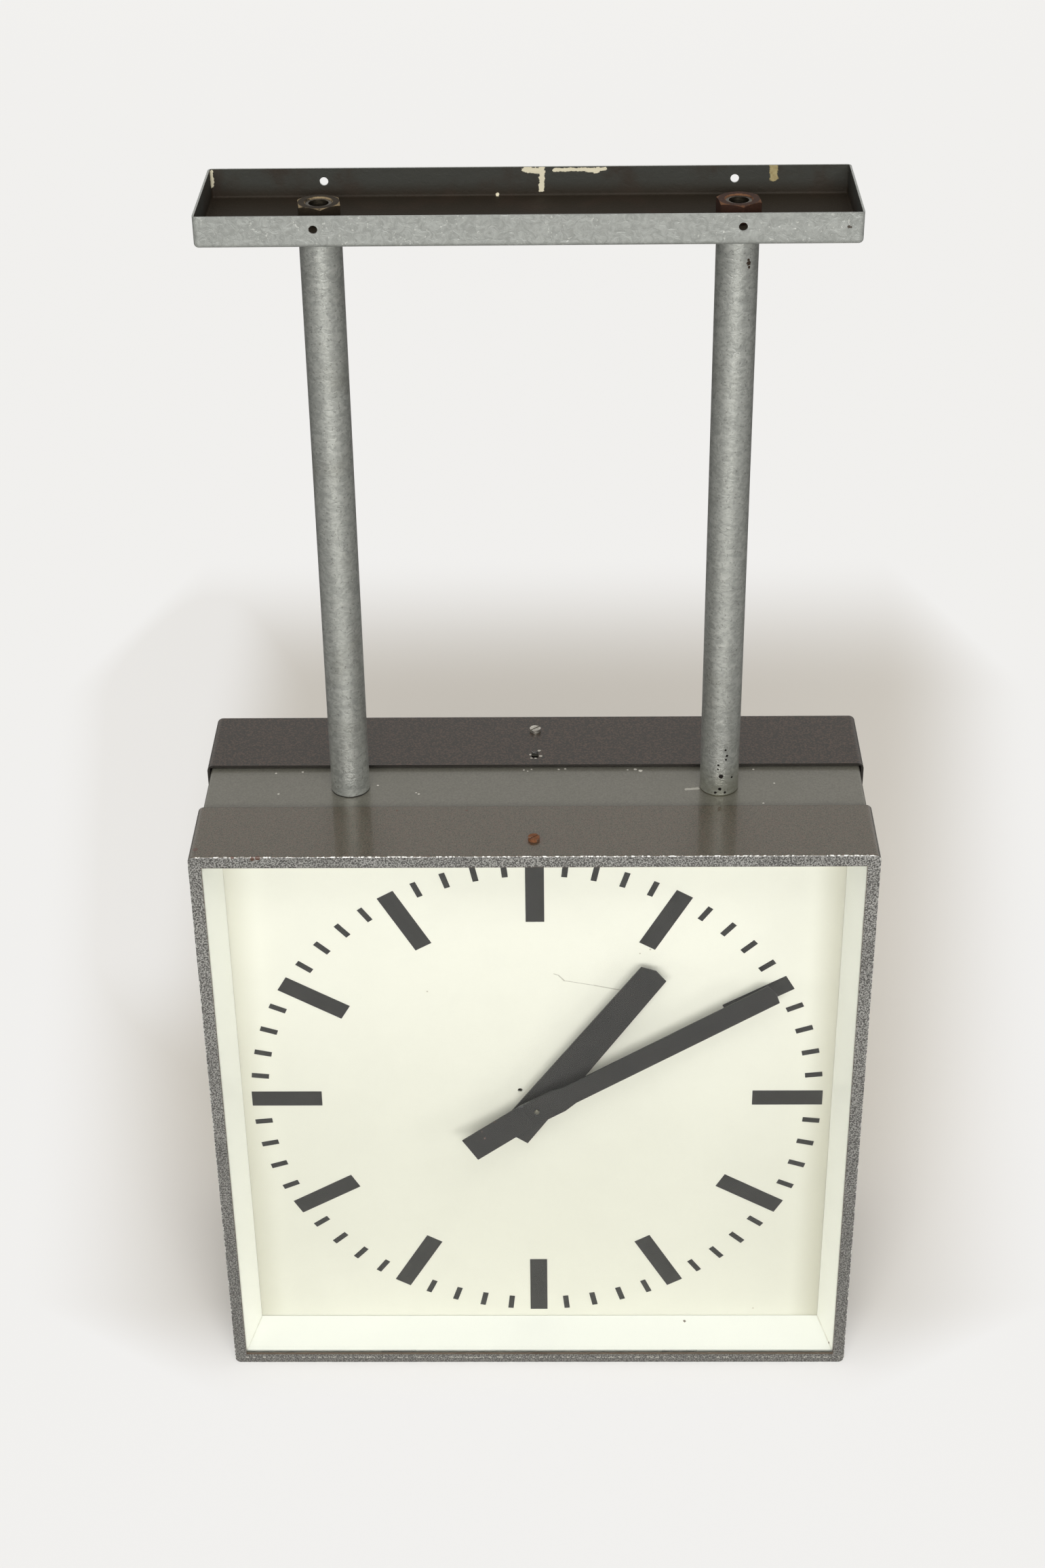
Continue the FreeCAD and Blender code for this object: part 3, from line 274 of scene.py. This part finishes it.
def cover_paint(shell, mesh, fleck, top_dark, top_light, coat, coat_roughness, marks=False):
    """Hammer finish: flecks in a dark mesh on the upright faces, and a finer grain on top, with
    painted highlights on the rounded edges and along a fold of the lip, and a painted shadow on the
    sheet edge by the ring.
    """
    paint = Paint(shell + "_paint", 0.36, 0.2)
    grain = paint.noise(0.0012, 2.0, 0.6)
    lip = paint.mix(paint.span(grain, 0.40, 0.62), mesh, fleck)
    lip = paint.mix(paint.span(paint.noise(0.05, 3.0), 0.40, 0.75, 0.0, 0.30), lip, mesh)
    # The upright faces turn darker towards the bottom
    lip = paint.mix(paint.span(paint.axis("Z"), 0.0, 0.42, 0.55, 0.0), lip, mesh)
    fine = paint.noise(0.0009, 3.0, 0.7)
    top = paint.mix(paint.span(fine, 0.32, 0.68), top_dark, top_light)
    warm = paint.span(paint.noise(0.0014, 2.0), 0.45, 0.62, 0.0, 0.40)
    top = paint.mix(warm, top, tone(96, 74, 62))
    upright = paint.span(paint.facing("Z"), 0.45, 0.85, 1, 0)
    colour = paint.mix(upright, top, lip)
    # Painted highlights: light specks on the rounded edges, and along the lip's crease below
    rounding = paint.math("MINIMUM", paint.top(paint.facing("X"), paint.facing("Z")),
                          paint.facing("Y"))
    glint_specks = paint.specks(0.0024, 0.46)
    painted_edge_glints = paint.both(paint.span(rounding, 0.30, 0.45), glint_specks)
    colour = paint.mix(paint.faint(painted_edge_glints, 0.8), colour, tone(226, 225, 218))
    # Painted highlights along the crease of the lip
    crease = paint.span(paint.apart("Z", LIP_CREASE), 0.0003, 0.0010, 1, 0)
    crease = paint.both(crease, glint_specks, upright)
    colour = paint.mix(paint.faint(crease, 0.5), colour, tone(206, 204, 192))
    outward = paint.top(paint.apart("X"), paint.apart("Z", CASE_MIDDLE))
    inner_edge = paint.span(outward, WINDOW_HALF + 0.00005, WINDOW_HALF + 0.00045, 1, 0)
    edge_rust = paint.mix(paint.noise(0.006), tone(66, 50, 40), tone(92, 76, 62))
    colour = paint.mix(inner_edge, colour, edge_rust)
    # Painted shadow: the sheet edge that faces the ring is dark, as the gap beside it is in shade
    shadowed_rim = min(abs(corner[1]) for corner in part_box(shell))
    colour = paint.mix(paint.span(paint.apart("Y"), shadowed_rim, shadowed_rim + 0.0005, 1, 0), colour,
                       tone(20, 17, 14))
    if marks:
        stain = paint.faint(paint.spots(SCREW_STAIN, 0.6, 0.004), 0.45)
        colour = paint.mix(stain, colour, tone(82, 54, 38))
        colour = paint.mix(paint.spots(COVER_RUST, 0.7), colour, RUST)
    else:
        colour = paint.mix(paint.spots(LATCH_RIM, 0.7, 0.001), colour, tone(176, 172, 160))
    paint.set("Base Color", colour)
    paint.set("Specular Tint", WARM_GLOSS)
    paint.set("Coat Weight", coat)
    paint.set("Coat Roughness", coat_roughness)
    paint.bump(paint.both(grain, upright), 0.45, 0.0002)
    return paint.material


def ring_paint():
    """A smoother mid grey with crumbs of old paint on its top."""
    paint = Paint("ring_paint", 0.38, 0.2)
    fine = paint.noise(0.0013, 3.0, 0.65)
    colour = paint.mix(paint.span(fine, 0.30, 0.70), tone(92, 90, 81), tone(110, 108, 98))
    clouds = paint.span(paint.noise(0.03, 4.0), 0.45, 0.70, 0.0, 0.25)
    colour = paint.mix(clouds, colour, tone(92, 92, 80))
    colour = paint.mix(paint.spots(RING_CRUMBS, 0.7), colour, tone(205, 201, 190))
    smear = paint.faint(paint.strokes(RING_SMEAR, 0.8), 0.6)
    colour = paint.mix(smear, colour, tone(188, 184, 172))
    paint.set("Base Color", colour)
    paint.set("Specular Tint", WARM_GLOSS)
    paint.set("Coat Weight", 0.35)
    paint.set("Coat Roughness", 0.16)
    paint.bump(fine, 0.35, 0.0002)
    return paint.material


def hanger_paint(name, worn=False):
    """Light hammer finish: soft mottles, thin pale ridges that lie level, and small dents."""
    paint = Paint(name, 0.40, 0.75)
    level = paint.stretched((1, 1, 1.5))
    mottle = paint.noise(0.0055, 4.0, 0.6, 1.0, place=level)
    colour = paint.mix(paint.span(mottle, 0.32, 0.68), tone(156, 158, 153), tone(183, 185, 179))
    arcs = paint.ridges(0.0058, 0.030, place=level)
    colour = paint.mix(paint.faint(arcs, 0.16), colour, tone(214, 214, 206))
    dents = paint.specks(0.0019, 0.34)
    colour = paint.mix(paint.faint(dents, 0.40), colour, tone(92, 92, 86))
    stains = paint.span(paint.noise(0.06, 4.0), 0.52, 0.75, 0.0, 0.30)
    colour = paint.mix(stains, colour, tone(120, 116, 102))
    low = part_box("hanger_tube_left")[0][2]
    foot = paint.span(paint.axis("Z"), low + 0.0006, low + 0.0012, 1, 0)
    colour = paint.mix(foot, colour, tone(48, 46, 42))
    if worn:
        tinge = paint.span(paint.axis("Z"), low + 0.002, low + 0.035, 0.35, 0.0)
        colour = paint.mix(tinge, colour, tone(122, 120, 92))
        colour = paint.mix(paint.spots(TUBE_PITS, 0.6, 0.001), colour, tone(26, 22, 20))
        colour = paint.mix(paint.spots(TUBE_RUST, 0.8, 0.0015), colour, tone(70, 58, 50))
    paint.set("Base Color", colour)
    paint.bump(paint.math("ADD", mottle, paint.faint(arcs, 0.06)), 0.38, 0.0008)
    return paint.material


def tray_paint():
    """Light hammer finish with painted sparkle outside, and dark stained primer with old drips
    inside.
    """
    paint = Paint("tray_paint", 0.36, 0.30)
    swirl = paint.noise(0.0055, 4.0, 0.65, 1.2)
    outside = paint.mix(paint.span(swirl, 0.32, 0.68), tone(138, 140, 135), tone(157, 159, 154))
    # Painted highlights: bright specks that stand in for the sparkle of the paint
    painted_glints = paint.both(paint.specks(0.0022, 0.32), paint.specks(0.02, 0.48))
    outside = paint.mix(paint.faint(painted_glints, 0.35), outside, tone(222, 222, 214))
    outside = paint.mix(paint.spots(TRAY_CHIP, 0.6, 0.001), outside, tone(70, 64, 56))
    low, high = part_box("top_tray")
    skin = 0.0014
    inside = paint.both(paint.span(paint.apart("X"), high[0] - skin, high[0] - skin + 0.0001, 1, 0),
                        paint.span(paint.apart("Y"), high[1] - skin, high[1] - skin + 0.0001, 1, 0),
                        paint.span(paint.axis("Z"), low[2] + skin - 0.0001, low[2] + skin))
    # The primer turns darker and browner towards the tray's floor
    depth = paint.span(paint.axis("Z"), low[2] + 0.002, low[2] + 0.014)
    primer = paint.mix(depth, tone(32, 25, 14), tone(50, 50, 45))
    stains = paint.span(paint.noise(0.03, 5.0), 0.48, 0.70, 0.0, 0.6)
    primer = paint.mix(stains, primer, tone(42, 31, 21))
    primer = paint.mix(paint.top(paint.strokes(TRAY_DRIPS, 0.9, 0.002), paint.spots(TRAY_DOTS)),
                       primer, tone(206, 198, 172))
    tan = paint.mix(paint.noise(0.003), tone(110, 92, 56), tone(180, 168, 124))
    primer = paint.mix(paint.strokes(TRAY_TAN, 0.7), primer, tan)
    paint.set("Base Color", paint.mix(inside, outside, primer))
    paint.set("Metallic", paint.span(inside, 0, 1, 0.30, 0.0))
    paint.set("Roughness", paint.span(inside, 0, 1, 0.36, 0.70))
    paint.set("Specular IOR Level", paint.span(inside, 0, 1, 0.50, 0.25))
    paint.bump(swirl, 0.55, 0.0008)
    return paint.material


def enamel(name, colour, soil_and_shade, roughness):
    """Cream stove enamel with a faint cloudiness and a fine orange peel, with the given marks and
    painted shade mixed in.
    """
    paint = Paint(name, roughness)
    pale = tuple(channel * 0.965 for channel in colour[:3]) + (1.0,)
    shade = paint.mix(paint.span(paint.noise(0.10, 4.0), 0.35, 0.70), colour, pale)
    for mask, share, stain in soil_and_shade(paint):
        shade = paint.mix(paint.faint(mask, share), shade, stain)
    paint.set("Base Color", shade)
    paint.bump(paint.noise(0.0025, 2.0), 0.10, 0.0001)
    return paint.material


def dial_painted_shade(paint):
    """Painted shade that deepens downwards, and painted shadow along the dial's two upright edges.
    """
    # Painted shadow along the upright edges, stronger on the right where the bezel and lip block
    # the light
    right = paint.span(paint.axis("X"), 0.212, 0.238)
    left = paint.span(paint.axis("X"), -0.240, -0.214, 0.75, 0.0)
    # Painted shade that deepens towards the bottom, then the painted edge shadow
    return ((paint.span(paint.axis("Z"), 0.05, 0.50, 1.0, 0.0), 0.42, tone(170, 170, 152)),
            (paint.top(right, left), 0.45, tone(150, 146, 122)))


def dial_soil_and_shade(paint):
    """A hair-fine scratch and a few specks, over the dial's painted shade."""
    return (*dial_painted_shade(paint), (paint.strokes(DIAL_SCRATCH, 0.6, 0.002), 0.5, tone(120, 112, 88)),
            (paint.spots(DIAL_SPECKS), 0.6, tone(150, 138, 112)))


def ledge_painted_shade(paint):
    """Painted shade on the faces that slope up or down."""
    # A darker tone on the faces that slope up or down, painted shade against the stronger light
    # from above
    return paint.span(paint.facing("Z"), 0.3, 0.7), 1.0, tone(226, 228, 220)


def bezel_soil_and_shade(paint):
    """Painted shade on the sloping faces, dirt in the four mitres, and chipped spots."""
    mitre = paint.gap(paint.apart("X"), paint.apart("Z", CASE_MIDDLE))
    dirt = paint.both(paint.span(mitre, 0.0002, 0.0014, 1, 0),
                      paint.span(paint.noise(0.008, 3.0), 0.35, 0.65, 0.35, 1.0))
    return (ledge_painted_shade(paint), (dirt, 0.35, tone(166, 158, 130)),
            (paint.spots(BEZEL_CHIPS, 0.7, 0.001), 0.9, tone(92, 78, 60)))


def clean(paint):
    """Nothing but a few pinpoint specks."""
    return ((paint.specks(0.004, 0.16), 0.3, tone(176, 168, 144)),)


def clean_dial(paint):
    """The dial's painted shade and the pinpoint specks."""
    return (*dial_painted_shade(paint), *clean(paint))


def clean_bezel(paint):
    """The painted shade on the sloping faces and the pinpoint specks."""
    return (ledge_painted_shade(paint), *clean(paint))


def ink():
    """Matt black print."""
    paint = Paint("dial_ink", 0.55)
    colour = paint.mix(paint.span(paint.noise(0.01), 0.3, 0.7), tone(18, 17, 15), tone(26, 25, 22))
    paint.set("Base Color", colour)
    paint.bump(paint.noise(0.0012, 2.0), 0.1, 0.00005)
    return paint.material


def hand_black(worn):
    """Matt black enamel on sheet, with rust where it is worn."""
    paint = Paint("worn_hand_black" if worn else "hand_black", 0.45)
    colour = paint.mix(paint.span(paint.noise(0.02, 4.0), 0.35, 0.7), tone(14, 13, 12),
                       tone(22, 20, 18))
    colour = paint.mix(paint.specks(0.003, 0.22), colour, tone(84, 60, 46))
    if worn:
        scuffs = paint.faint(paint.spots(HAND_SCUFFS, 1.2, 0.002), 0.3)
        colour = paint.mix(scuffs, colour, tone(104, 104, 104))
        colour = paint.mix(paint.spots(HAND_RUST, 0.6, 0.001), colour, tone(112, 92, 82))
    paint.set("Base Color", colour)
    paint.bump(paint.noise(0.005, 2.0), 0.08, 0.0001)
    return paint.material


def glazing():
    """Clear glass: each face mirrors a little, more at a slant, and carries faint smears."""
    paint = Paint("glazing", 0.03, 1.0)
    slant = paint.node("ShaderNodeLayerWeight")
    slant.inputs["Blend"].default_value = 0.5
    steep = paint.math("POWER", slant.outputs["Facing"], 5.0)
    mirror = paint.math("ADD", paint.faint(steep, 0.96), 0.023)
    smears = paint.span(paint.noise(0.06, 6.0, 0.7, 1.5), 0.62, 0.80, 0.0, 0.012)
    paint.set("Base Color", (0.95, 0.97, 0.96, 1.0))
    paint.set("Alpha", paint.math("ADD", mirror, smears))
    return paint.material


def steel(name, light, dark, rust_share=0.0):
    """Brushed steel, with rust over a share of it."""
    paint = Paint(name, 0.36, 0.9)
    brushed = paint.noise(0.004, 3.0, place=paint.stretched((1, 1, 6)))
    colour = paint.mix(paint.span(brushed, 0.3, 0.7), dark, light)
    if rust_share:
        rust = paint.span(paint.noise(0.004, 5.0), 1 - rust_share, 1.1 - rust_share)
        bloom = paint.mix(paint.noise(0.0015, 4.0), tone(72, 42, 26), tone(136, 84, 46))
        colour = paint.mix(rust, colour, bloom)
        paint.set("Metallic", paint.span(rust, 0, 1, 0.9, 0.1))
        paint.set("Roughness", paint.span(rust, 0, 1, 0.38, 0.85))
    paint.set("Base Color", colour)
    paint.bump(paint.noise(0.0012, 3.0), 0.25, 0.0002)
    return paint.material


def old_nut():
    """Browned steel: tan on the left where its edges are worn, and rusty on the right."""
    paint = Paint("old_nut", 0.70, 0.4)
    stain = paint.noise(0.003, 4.0)
    left = paint.mix(stain, tone(27, 22, 16), tone(52, 44, 33))
    bevel = paint.span(paint.facing("Z"), 0.94, 0.99, 1, 0)
    worn = paint.both(bevel, paint.span(paint.facing("Z"), 0.2, 0.4),
                      paint.span(paint.noise(0.006), 0.35, 0.55))
    left = paint.mix(worn, left, tone(132, 116, 90))
    right = paint.mix(stain, tone(32, 20, 15), tone(66, 41, 30))
    right = paint.mix(paint.faint(worn, 0.7), right, tone(112, 78, 54))
    side = paint.span(paint.axis("X"), -0.01, 0.01)
    paint.set("Base Color", paint.mix(side, left, right))
    paint.set("Metallic", paint.span(side, 0, 1, 0.3, 0.1))
    paint.set("Specular Tint", WARM_GLOSS)
    paint.set("Specular IOR Level", 0.2)
    paint.bump(paint.noise(0.0012, 3.0), 0.4, 0.0003)
    return paint.material


def brass(name, light, dark):
    """Drawn brass with tarnished patches."""
    paint = Paint(name, 0.30, 1.0)
    grain = paint.noise(0.003, 3.0, place=paint.stretched((1, 1, 12)))
    colour = paint.mix(paint.span(grain, 0.3, 0.7), dark, light)
    tarnish = paint.span(paint.noise(0.02, 4.0), 0.5, 0.75)
    colour = paint.mix(paint.faint(tarnish, 0.5), colour, tone(116, 84, 44))
    paint.set("Base Color", colour)
    paint.bump(grain, 0.08, 0.0001)
    return paint.material


def plastic(name, colour, roughness=0.5):
    """Moulded plastic with a faint mottle."""
    paint = Paint(name, roughness)
    shade = paint.mix(paint.span(paint.noise(0.01, 3.0), 0.3, 0.7), colour,
                      tuple(channel * 0.85 for channel in colour[:3]) + (1.0,))
    paint.set("Base Color", shade)
    paint.bump(paint.noise(0.0008, 2.0), 0.15, 0.0001)
    return paint.material


def copper_turns():
    """Enamelled wire: fine ridges round the coil's axis."""
    paint = Paint("copper_wire", 0.28, 0.9)
    wave = paint.node("ShaderNodeTexWave", wave_type="BANDS", bands_direction="X")
    paint.feed(wave.inputs["Vector"], paint.place)
    wave.inputs["Scale"].default_value = 600.0
    paint.set("Base Color", paint.mix(wave.outputs["Fac"], tone(96, 40, 20), tone(176, 92, 52)))
    paint.bump(wave.outputs["Fac"], 0.4, 0.0002)
    return paint.material


# ---------------------------------------------------------------- dressing the clock

def dress(materials, side=""):
    """Gives carried-over nodes their materials."""
    for name, material in materials.items():
        piece = frame["nodes"][side + name]
        piece.data.materials.clear()
        piece.data.materials.append(material)


def dress_clock():
    """Gives every node of the clock its material."""
    ring = ring_paint()
    bright = steel("bright_steel", tone(196, 192, 182), tone(140, 136, 128), 0.12)
    polished = steel("polished_steel", tone(206, 204, 198), tone(168, 166, 160))
    plate = brass("plate_brass", tone(150, 126, 80), tone(112, 90, 56))
    gears = brass("gear_brass", tone(222, 190, 118), tone(190, 156, 90))
    plain_black = hand_black(worn=False)
    dress({
        "case_ring": ring, "case_roof": ring, "dial_brackets": ring,
        "hanger_tube_left": hanger_paint("tube_paint"),
        "hanger_tube_right": hanger_paint("worn_tube_paint", worn=True),
        "top_tray": tray_paint(), "lock_nuts": old_nut(),
        "tube_nipples": steel("nipple_steel", tone(84, 77, 64), tone(50, 45, 37), 0.30),
        "tube_end_plugs": steel("dull_steel", tone(110, 104, 92), tone(74, 68, 58), 0.45),
        "terminal_block": plastic("terminal_plastic", tone(220, 214, 198), 0.4),
        "dial_screws": bright, "bar_screws": bright, "plate_screws": bright,
        "plate_pillars": plate, "rear_cover_screw": bright,
        "front_cover_screw": steel("rusty_steel", tone(150, 140, 126), tone(104, 94, 82), 0.62),
        "front_cover_shell": cover_paint(
            "front_cover_shell", tone(60, 59, 57), tone(160, 159, 154), tone(38, 34, 24),
            tone(94, 89, 74), 0.50, 0.09, marks=True),
        "rear_cover_shell": cover_paint(
            "rear_cover_shell", tone(54, 52, 50), tone(128, 126, 122), tone(18, 14, 9),
            tone(28, 24, 18), 0.08, 0.22),
        "front_dial": enamel("front_dial_enamel", DIAL_CREAM, dial_soil_and_shade, 0.40),
        "rear_dial": enamel("rear_dial_enamel", DIAL_CREAM, clean_dial, 0.40),
        "front_bezel": enamel("front_bezel_enamel", BEZEL_CREAM, bezel_soil_and_shade, 0.36),
        "rear_bezel": enamel("rear_bezel_enamel", BEZEL_CREAM, clean_bezel, 0.36),
        "front_minute_hand": hand_black(worn=True), "rear_minute_hand": plain_black,
    })
    shared = {
        "glass": glazing(), "glass_clips": bright, "cover_nut": bright, "dial_marks": ink(),
        "movement_bar": ring, "front_plate": plate, "back_plate": plate,
        "stator": steel("lamination_steel", tone(96, 96, 98), tone(66, 66, 70)),
        "bobbin": plastic("bobbin_plastic", tone(44, 42, 40)), "winding": copper_turns(),
        "minute_arbor": steel("arbor_steel", tone(132, 130, 114), tone(86, 84, 74)),
        "minute_wheel": gears, "minute_collet": gears,
        "hour_wheel": gears, "hour_hand": plain_black, "intermediate_wheel": gears,
        "rotor_pinion": polished,
        "rotor_magnet": steel("magnet_alloy", tone(84, 84, 86), tone(58, 58, 60))}
    for side in SIDES:
        dress(shared, side + "_")


# ---------------------------------------------------------------- studio

BLACK = (0, 0, 0, 1)
FLOOR_HALF = 14.0
FLOOR_TONE = tone(230, 228, 224)
FLOOR_BEHIND_TONE = tone(236, 230, 220)
BACKDROP_TONE = tone(242, 241, 239)
DIM_SIDES = 0.30
DIM_FRONT = 0.12

# Where the floor's tones turn into each other, in metres: what mirrors see, what matt faces see,
# and the edges of the shadow that the camera sees
MIRROR_ASIDE = (0.4, 1.2)
MIRROR_BEHIND = (0.3, 1.0)
MATT_IN_FRONT = (-0.4, -0.1)
WARM_BEHIND = (-0.4, 0.3)
SHADOW_ASIDE = (0.27, 0.47)
SHADOW_FLARE = 0.13
SHADOW_BEHIND = (1.03, 1.42)
SHADOW_IN_FRONT = (-0.16, -0.02)
HALO_LEFT = (-0.42, -0.28)
HALO_BEHIND = (0.2, 0.5)
HALO_SHARE = 0.76
EVEN_SHARE = 0.97


def wired(tree, kind, settings, *links):
    """Adds a node to a plain node tree, with (input, socket) links."""
    made = tree.nodes.new(kind)
    for name, value in settings.items():
        setattr(made, name, value)
    for name, source in links:
        tree.links.new(source, made.inputs[name])
    return made


def floor():
    """A pale sheet. Far from the clock the camera sees it evenly lit, and near it its shadow."""
    mesh = bpy.data.meshes.new("floor")
    corners = [(-FLOOR_HALF, -FLOOR_HALF, 0), (FLOOR_HALF, -FLOOR_HALF, 0),
               (FLOOR_HALF, FLOOR_HALF, 0), (-FLOOR_HALF, FLOOR_HALF, 0)]
    mesh.from_pydata(corners, [], [(0, 1, 2, 3)])
    plane = bpy.data.objects.new("floor", mesh)
    bpy.context.scene.collection.objects.link(plane)
    paper = Paint("floor_paper", 0.9)
    path = paper.node("ShaderNodeLightPath")
    seen = path.outputs["Is Camera Ray"]
    mirror_share = paper.both(paper.span(paper.apart("X"), *MIRROR_ASIDE, 1.0, DIM_SIDES),
                              paper.span(paper.axis("Y"), *MIRROR_BEHIND, 1.0, DIM_SIDES))
    matt_share = paper.span(paper.axis("Y"), *MATT_IN_FRONT, DIM_FRONT, 1.0)
    to_light = paper.mix(path.outputs["Is Glossy Ray"], paper.mix(matt_share, BLACK, FLOOR_TONE),
                         paper.mix(mirror_share, BLACK, FLOOR_TONE))
    to_camera = paper.mix(paper.span(paper.axis("Y"), *WARM_BEHIND), FLOOR_TONE,
                          FLOOR_BEHIND_TONE)
    paper.set("Base Color", paper.mix(seen, to_light, to_camera))
    glow = paper.node("ShaderNodeEmission")
    glow.inputs["Color"].default_value = BACKDROP_TONE
    flare = paper.faint(paper.axis("Y"), SHADOW_FLARE)
    beside = paper.span(paper.math("SUBTRACT", paper.apart("X"), flare), *SHADOW_ASIDE)
    beyond = paper.math("ADD", paper.span(paper.axis("Y"), *SHADOW_BEHIND),
                        paper.span(paper.axis("Y"), *SHADOW_IN_FRONT, 1.0, 0.0))
    even = paper.math("ADD", beside, beyond, clamp=True)
    halo = paper.both(paper.span(paper.axis("X"), *HALO_LEFT, HALO_SHARE, 0.0),
                      paper.span(paper.axis("Y"), *HALO_BEHIND))
    share = paper.both(seen, paper.top(even, halo), EVEN_SHARE)
    blend = paper.node("ShaderNodeMixShader")
    paper.feed(blend.inputs["Fac"], share)
    paper.feed(blend.inputs[1], paper.shader.outputs[0])
    paper.feed(blend.inputs[2], glow.outputs[0])
    paper.feed(paper.tree.nodes["Material Output"].inputs["Surface"], blend.outputs[0])
    mesh.materials.append(paper.material)


WORLD_TONE = (1.0, 0.99, 0.975, 1.0)
WORLD_SEEN = 0.92
WORLD_LIGHT = 0.30
WORLD_ASIDE = (0.72, 0.95)


def world():
    """White where the camera looks, softer as a light, and dim at the sides for mirrors."""
    made = bpy.data.worlds.new("studio")
    bpy.context.scene.world = made
    made.use_nodes = True
    tree = made.node_tree
    background = tree.nodes["Background"]
    background.inputs["Color"].default_value = WORLD_TONE
    path = tree.nodes.new("ShaderNodeLightPath")
    mirrored = wired(tree, "ShaderNodeMath", {"operation": "MAXIMUM"},
                     (0, path.outputs["Is Glossy Ray"]), (1, path.outputs["Is Transmission Ray"]))
    seen = wired(tree, "ShaderNodeMath", {"operation": "MAXIMUM"},
                 (0, path.outputs["Is Camera Ray"]), (1, mirrored.outputs[0]))
    strength = wired(tree, "ShaderNodeMapRange", {}, ("Value", seen.outputs[0]))
    strength.inputs["To Min"].default_value = WORLD_LIGHT
    strength.inputs["To Max"].default_value = WORLD_SEEN
    direction = wired(tree, "ShaderNodeSeparateXYZ", {},
                      (0, tree.nodes.new("ShaderNodeTexCoord").outputs["Generated"]))
    sideways = wired(tree, "ShaderNodeMath", {"operation": "ABSOLUTE"}, (0, direction.outputs["X"]))
    dim = wired(tree, "ShaderNodeMapRange", {}, ("Value", sideways.outputs[0]))
    for name, value in zip(("From Min", "From Max", "To Min", "To Max"),
                           (*WORLD_ASIDE, 1.0, DIM_SIDES)):
        dim.inputs[name].default_value = value
    matt = wired(tree, "ShaderNodeMath", {"operation": "SUBTRACT"},
                 (1, path.outputs["Is Glossy Ray"]))
    matt.inputs[0].default_value = 1.0
    plain = wired(tree, "ShaderNodeMath", {"operation": "MAXIMUM"},
                  (0, matt.outputs[0]), (1, dim.outputs["Result"]))
    total = wired(tree, "ShaderNodeMath", {"operation": "MULTIPLY"},
                  (0, strength.outputs["Result"]), (1, plain.outputs[0]))
    tree.links.new(total.outputs[0], background.inputs["Strength"])


def lamp(name, place, aim, size, power, mirrored=True):
    """A soft box turned to its aim. A lamp that isn't mirrored lights without a highlight."""
    light = bpy.data.lights.new(name, "AREA")
    light.shape = "RECTANGLE"
    light.size, light.size_y = size
    light.energy = power
    holder = bpy.data.objects.new(name, light)
    holder.location = place
    holder.visible_glossy = mirrored
    holder.rotation_euler = (Vector(aim) - Vector(place)).to_track_quat("-Z", "Y").to_euler()
    bpy.context.scene.collection.objects.link(holder)


def camera():
    """The camera that fits the photograph."""
    eye = bpy.data.cameras.new("camera")
    eye.sensor_fit = "VERTICAL"
    eye.sensor_height = SENSOR_HEIGHT
    eye.lens = SENSOR_HEIGHT * FOCAL_PIXELS / PHOTO_HEIGHT
    holder = bpy.data.objects.new("camera", eye)
    ahead = Vector((math.sin(CAMERA_YAW) * math.cos(CAMERA_PITCH),
                    math.cos(CAMERA_YAW) * math.cos(CAMERA_PITCH), math.sin(CAMERA_PITCH)))
    right = Vector((math.cos(CAMERA_YAW), -math.sin(CAMERA_YAW), 0))
    up = right.cross(ahead)
    rolled_right = right * math.cos(CAMERA_ROLL) + up * math.sin(CAMERA_ROLL)
    rolled_up = up * math.cos(CAMERA_ROLL) - right * math.sin(CAMERA_ROLL)
    holder.matrix_world = Matrix.Translation(CAMERA_PLACE) @ Matrix(
        (rolled_right, rolled_up, -ahead)).transposed().to_4x4()
    bpy.context.scene.collection.objects.link(holder)
    bpy.context.scene.camera = holder


camera()
floor()
world()
lamp("key", (0.1, -8.2, 3.5), (0, 0.2, 0.4), (8.5, 1.7), 640)
lamp("overhead", (0.2, -2.6, 5.4), (0, 0.2, 0.2), (3.2, 2.4), 100)
lamp("back fill", (0, 6.0, 0.35), (0, 0, 0.35), (3.0, 0.6), 170, mirrored=False)
lamp("left fill", (-3.6, -1.7, 0.7), (0, 0, 0.3), (1.4, 1.0), 18, mirrored=False)
lamp("right fill", (3.6, -1.7, 0.7), (0, 0, 0.3), (1.4, 1.0), 26, mirrored=False)
bpy.context.scene.view_settings.view_transform = "Standard"
dress_clock()
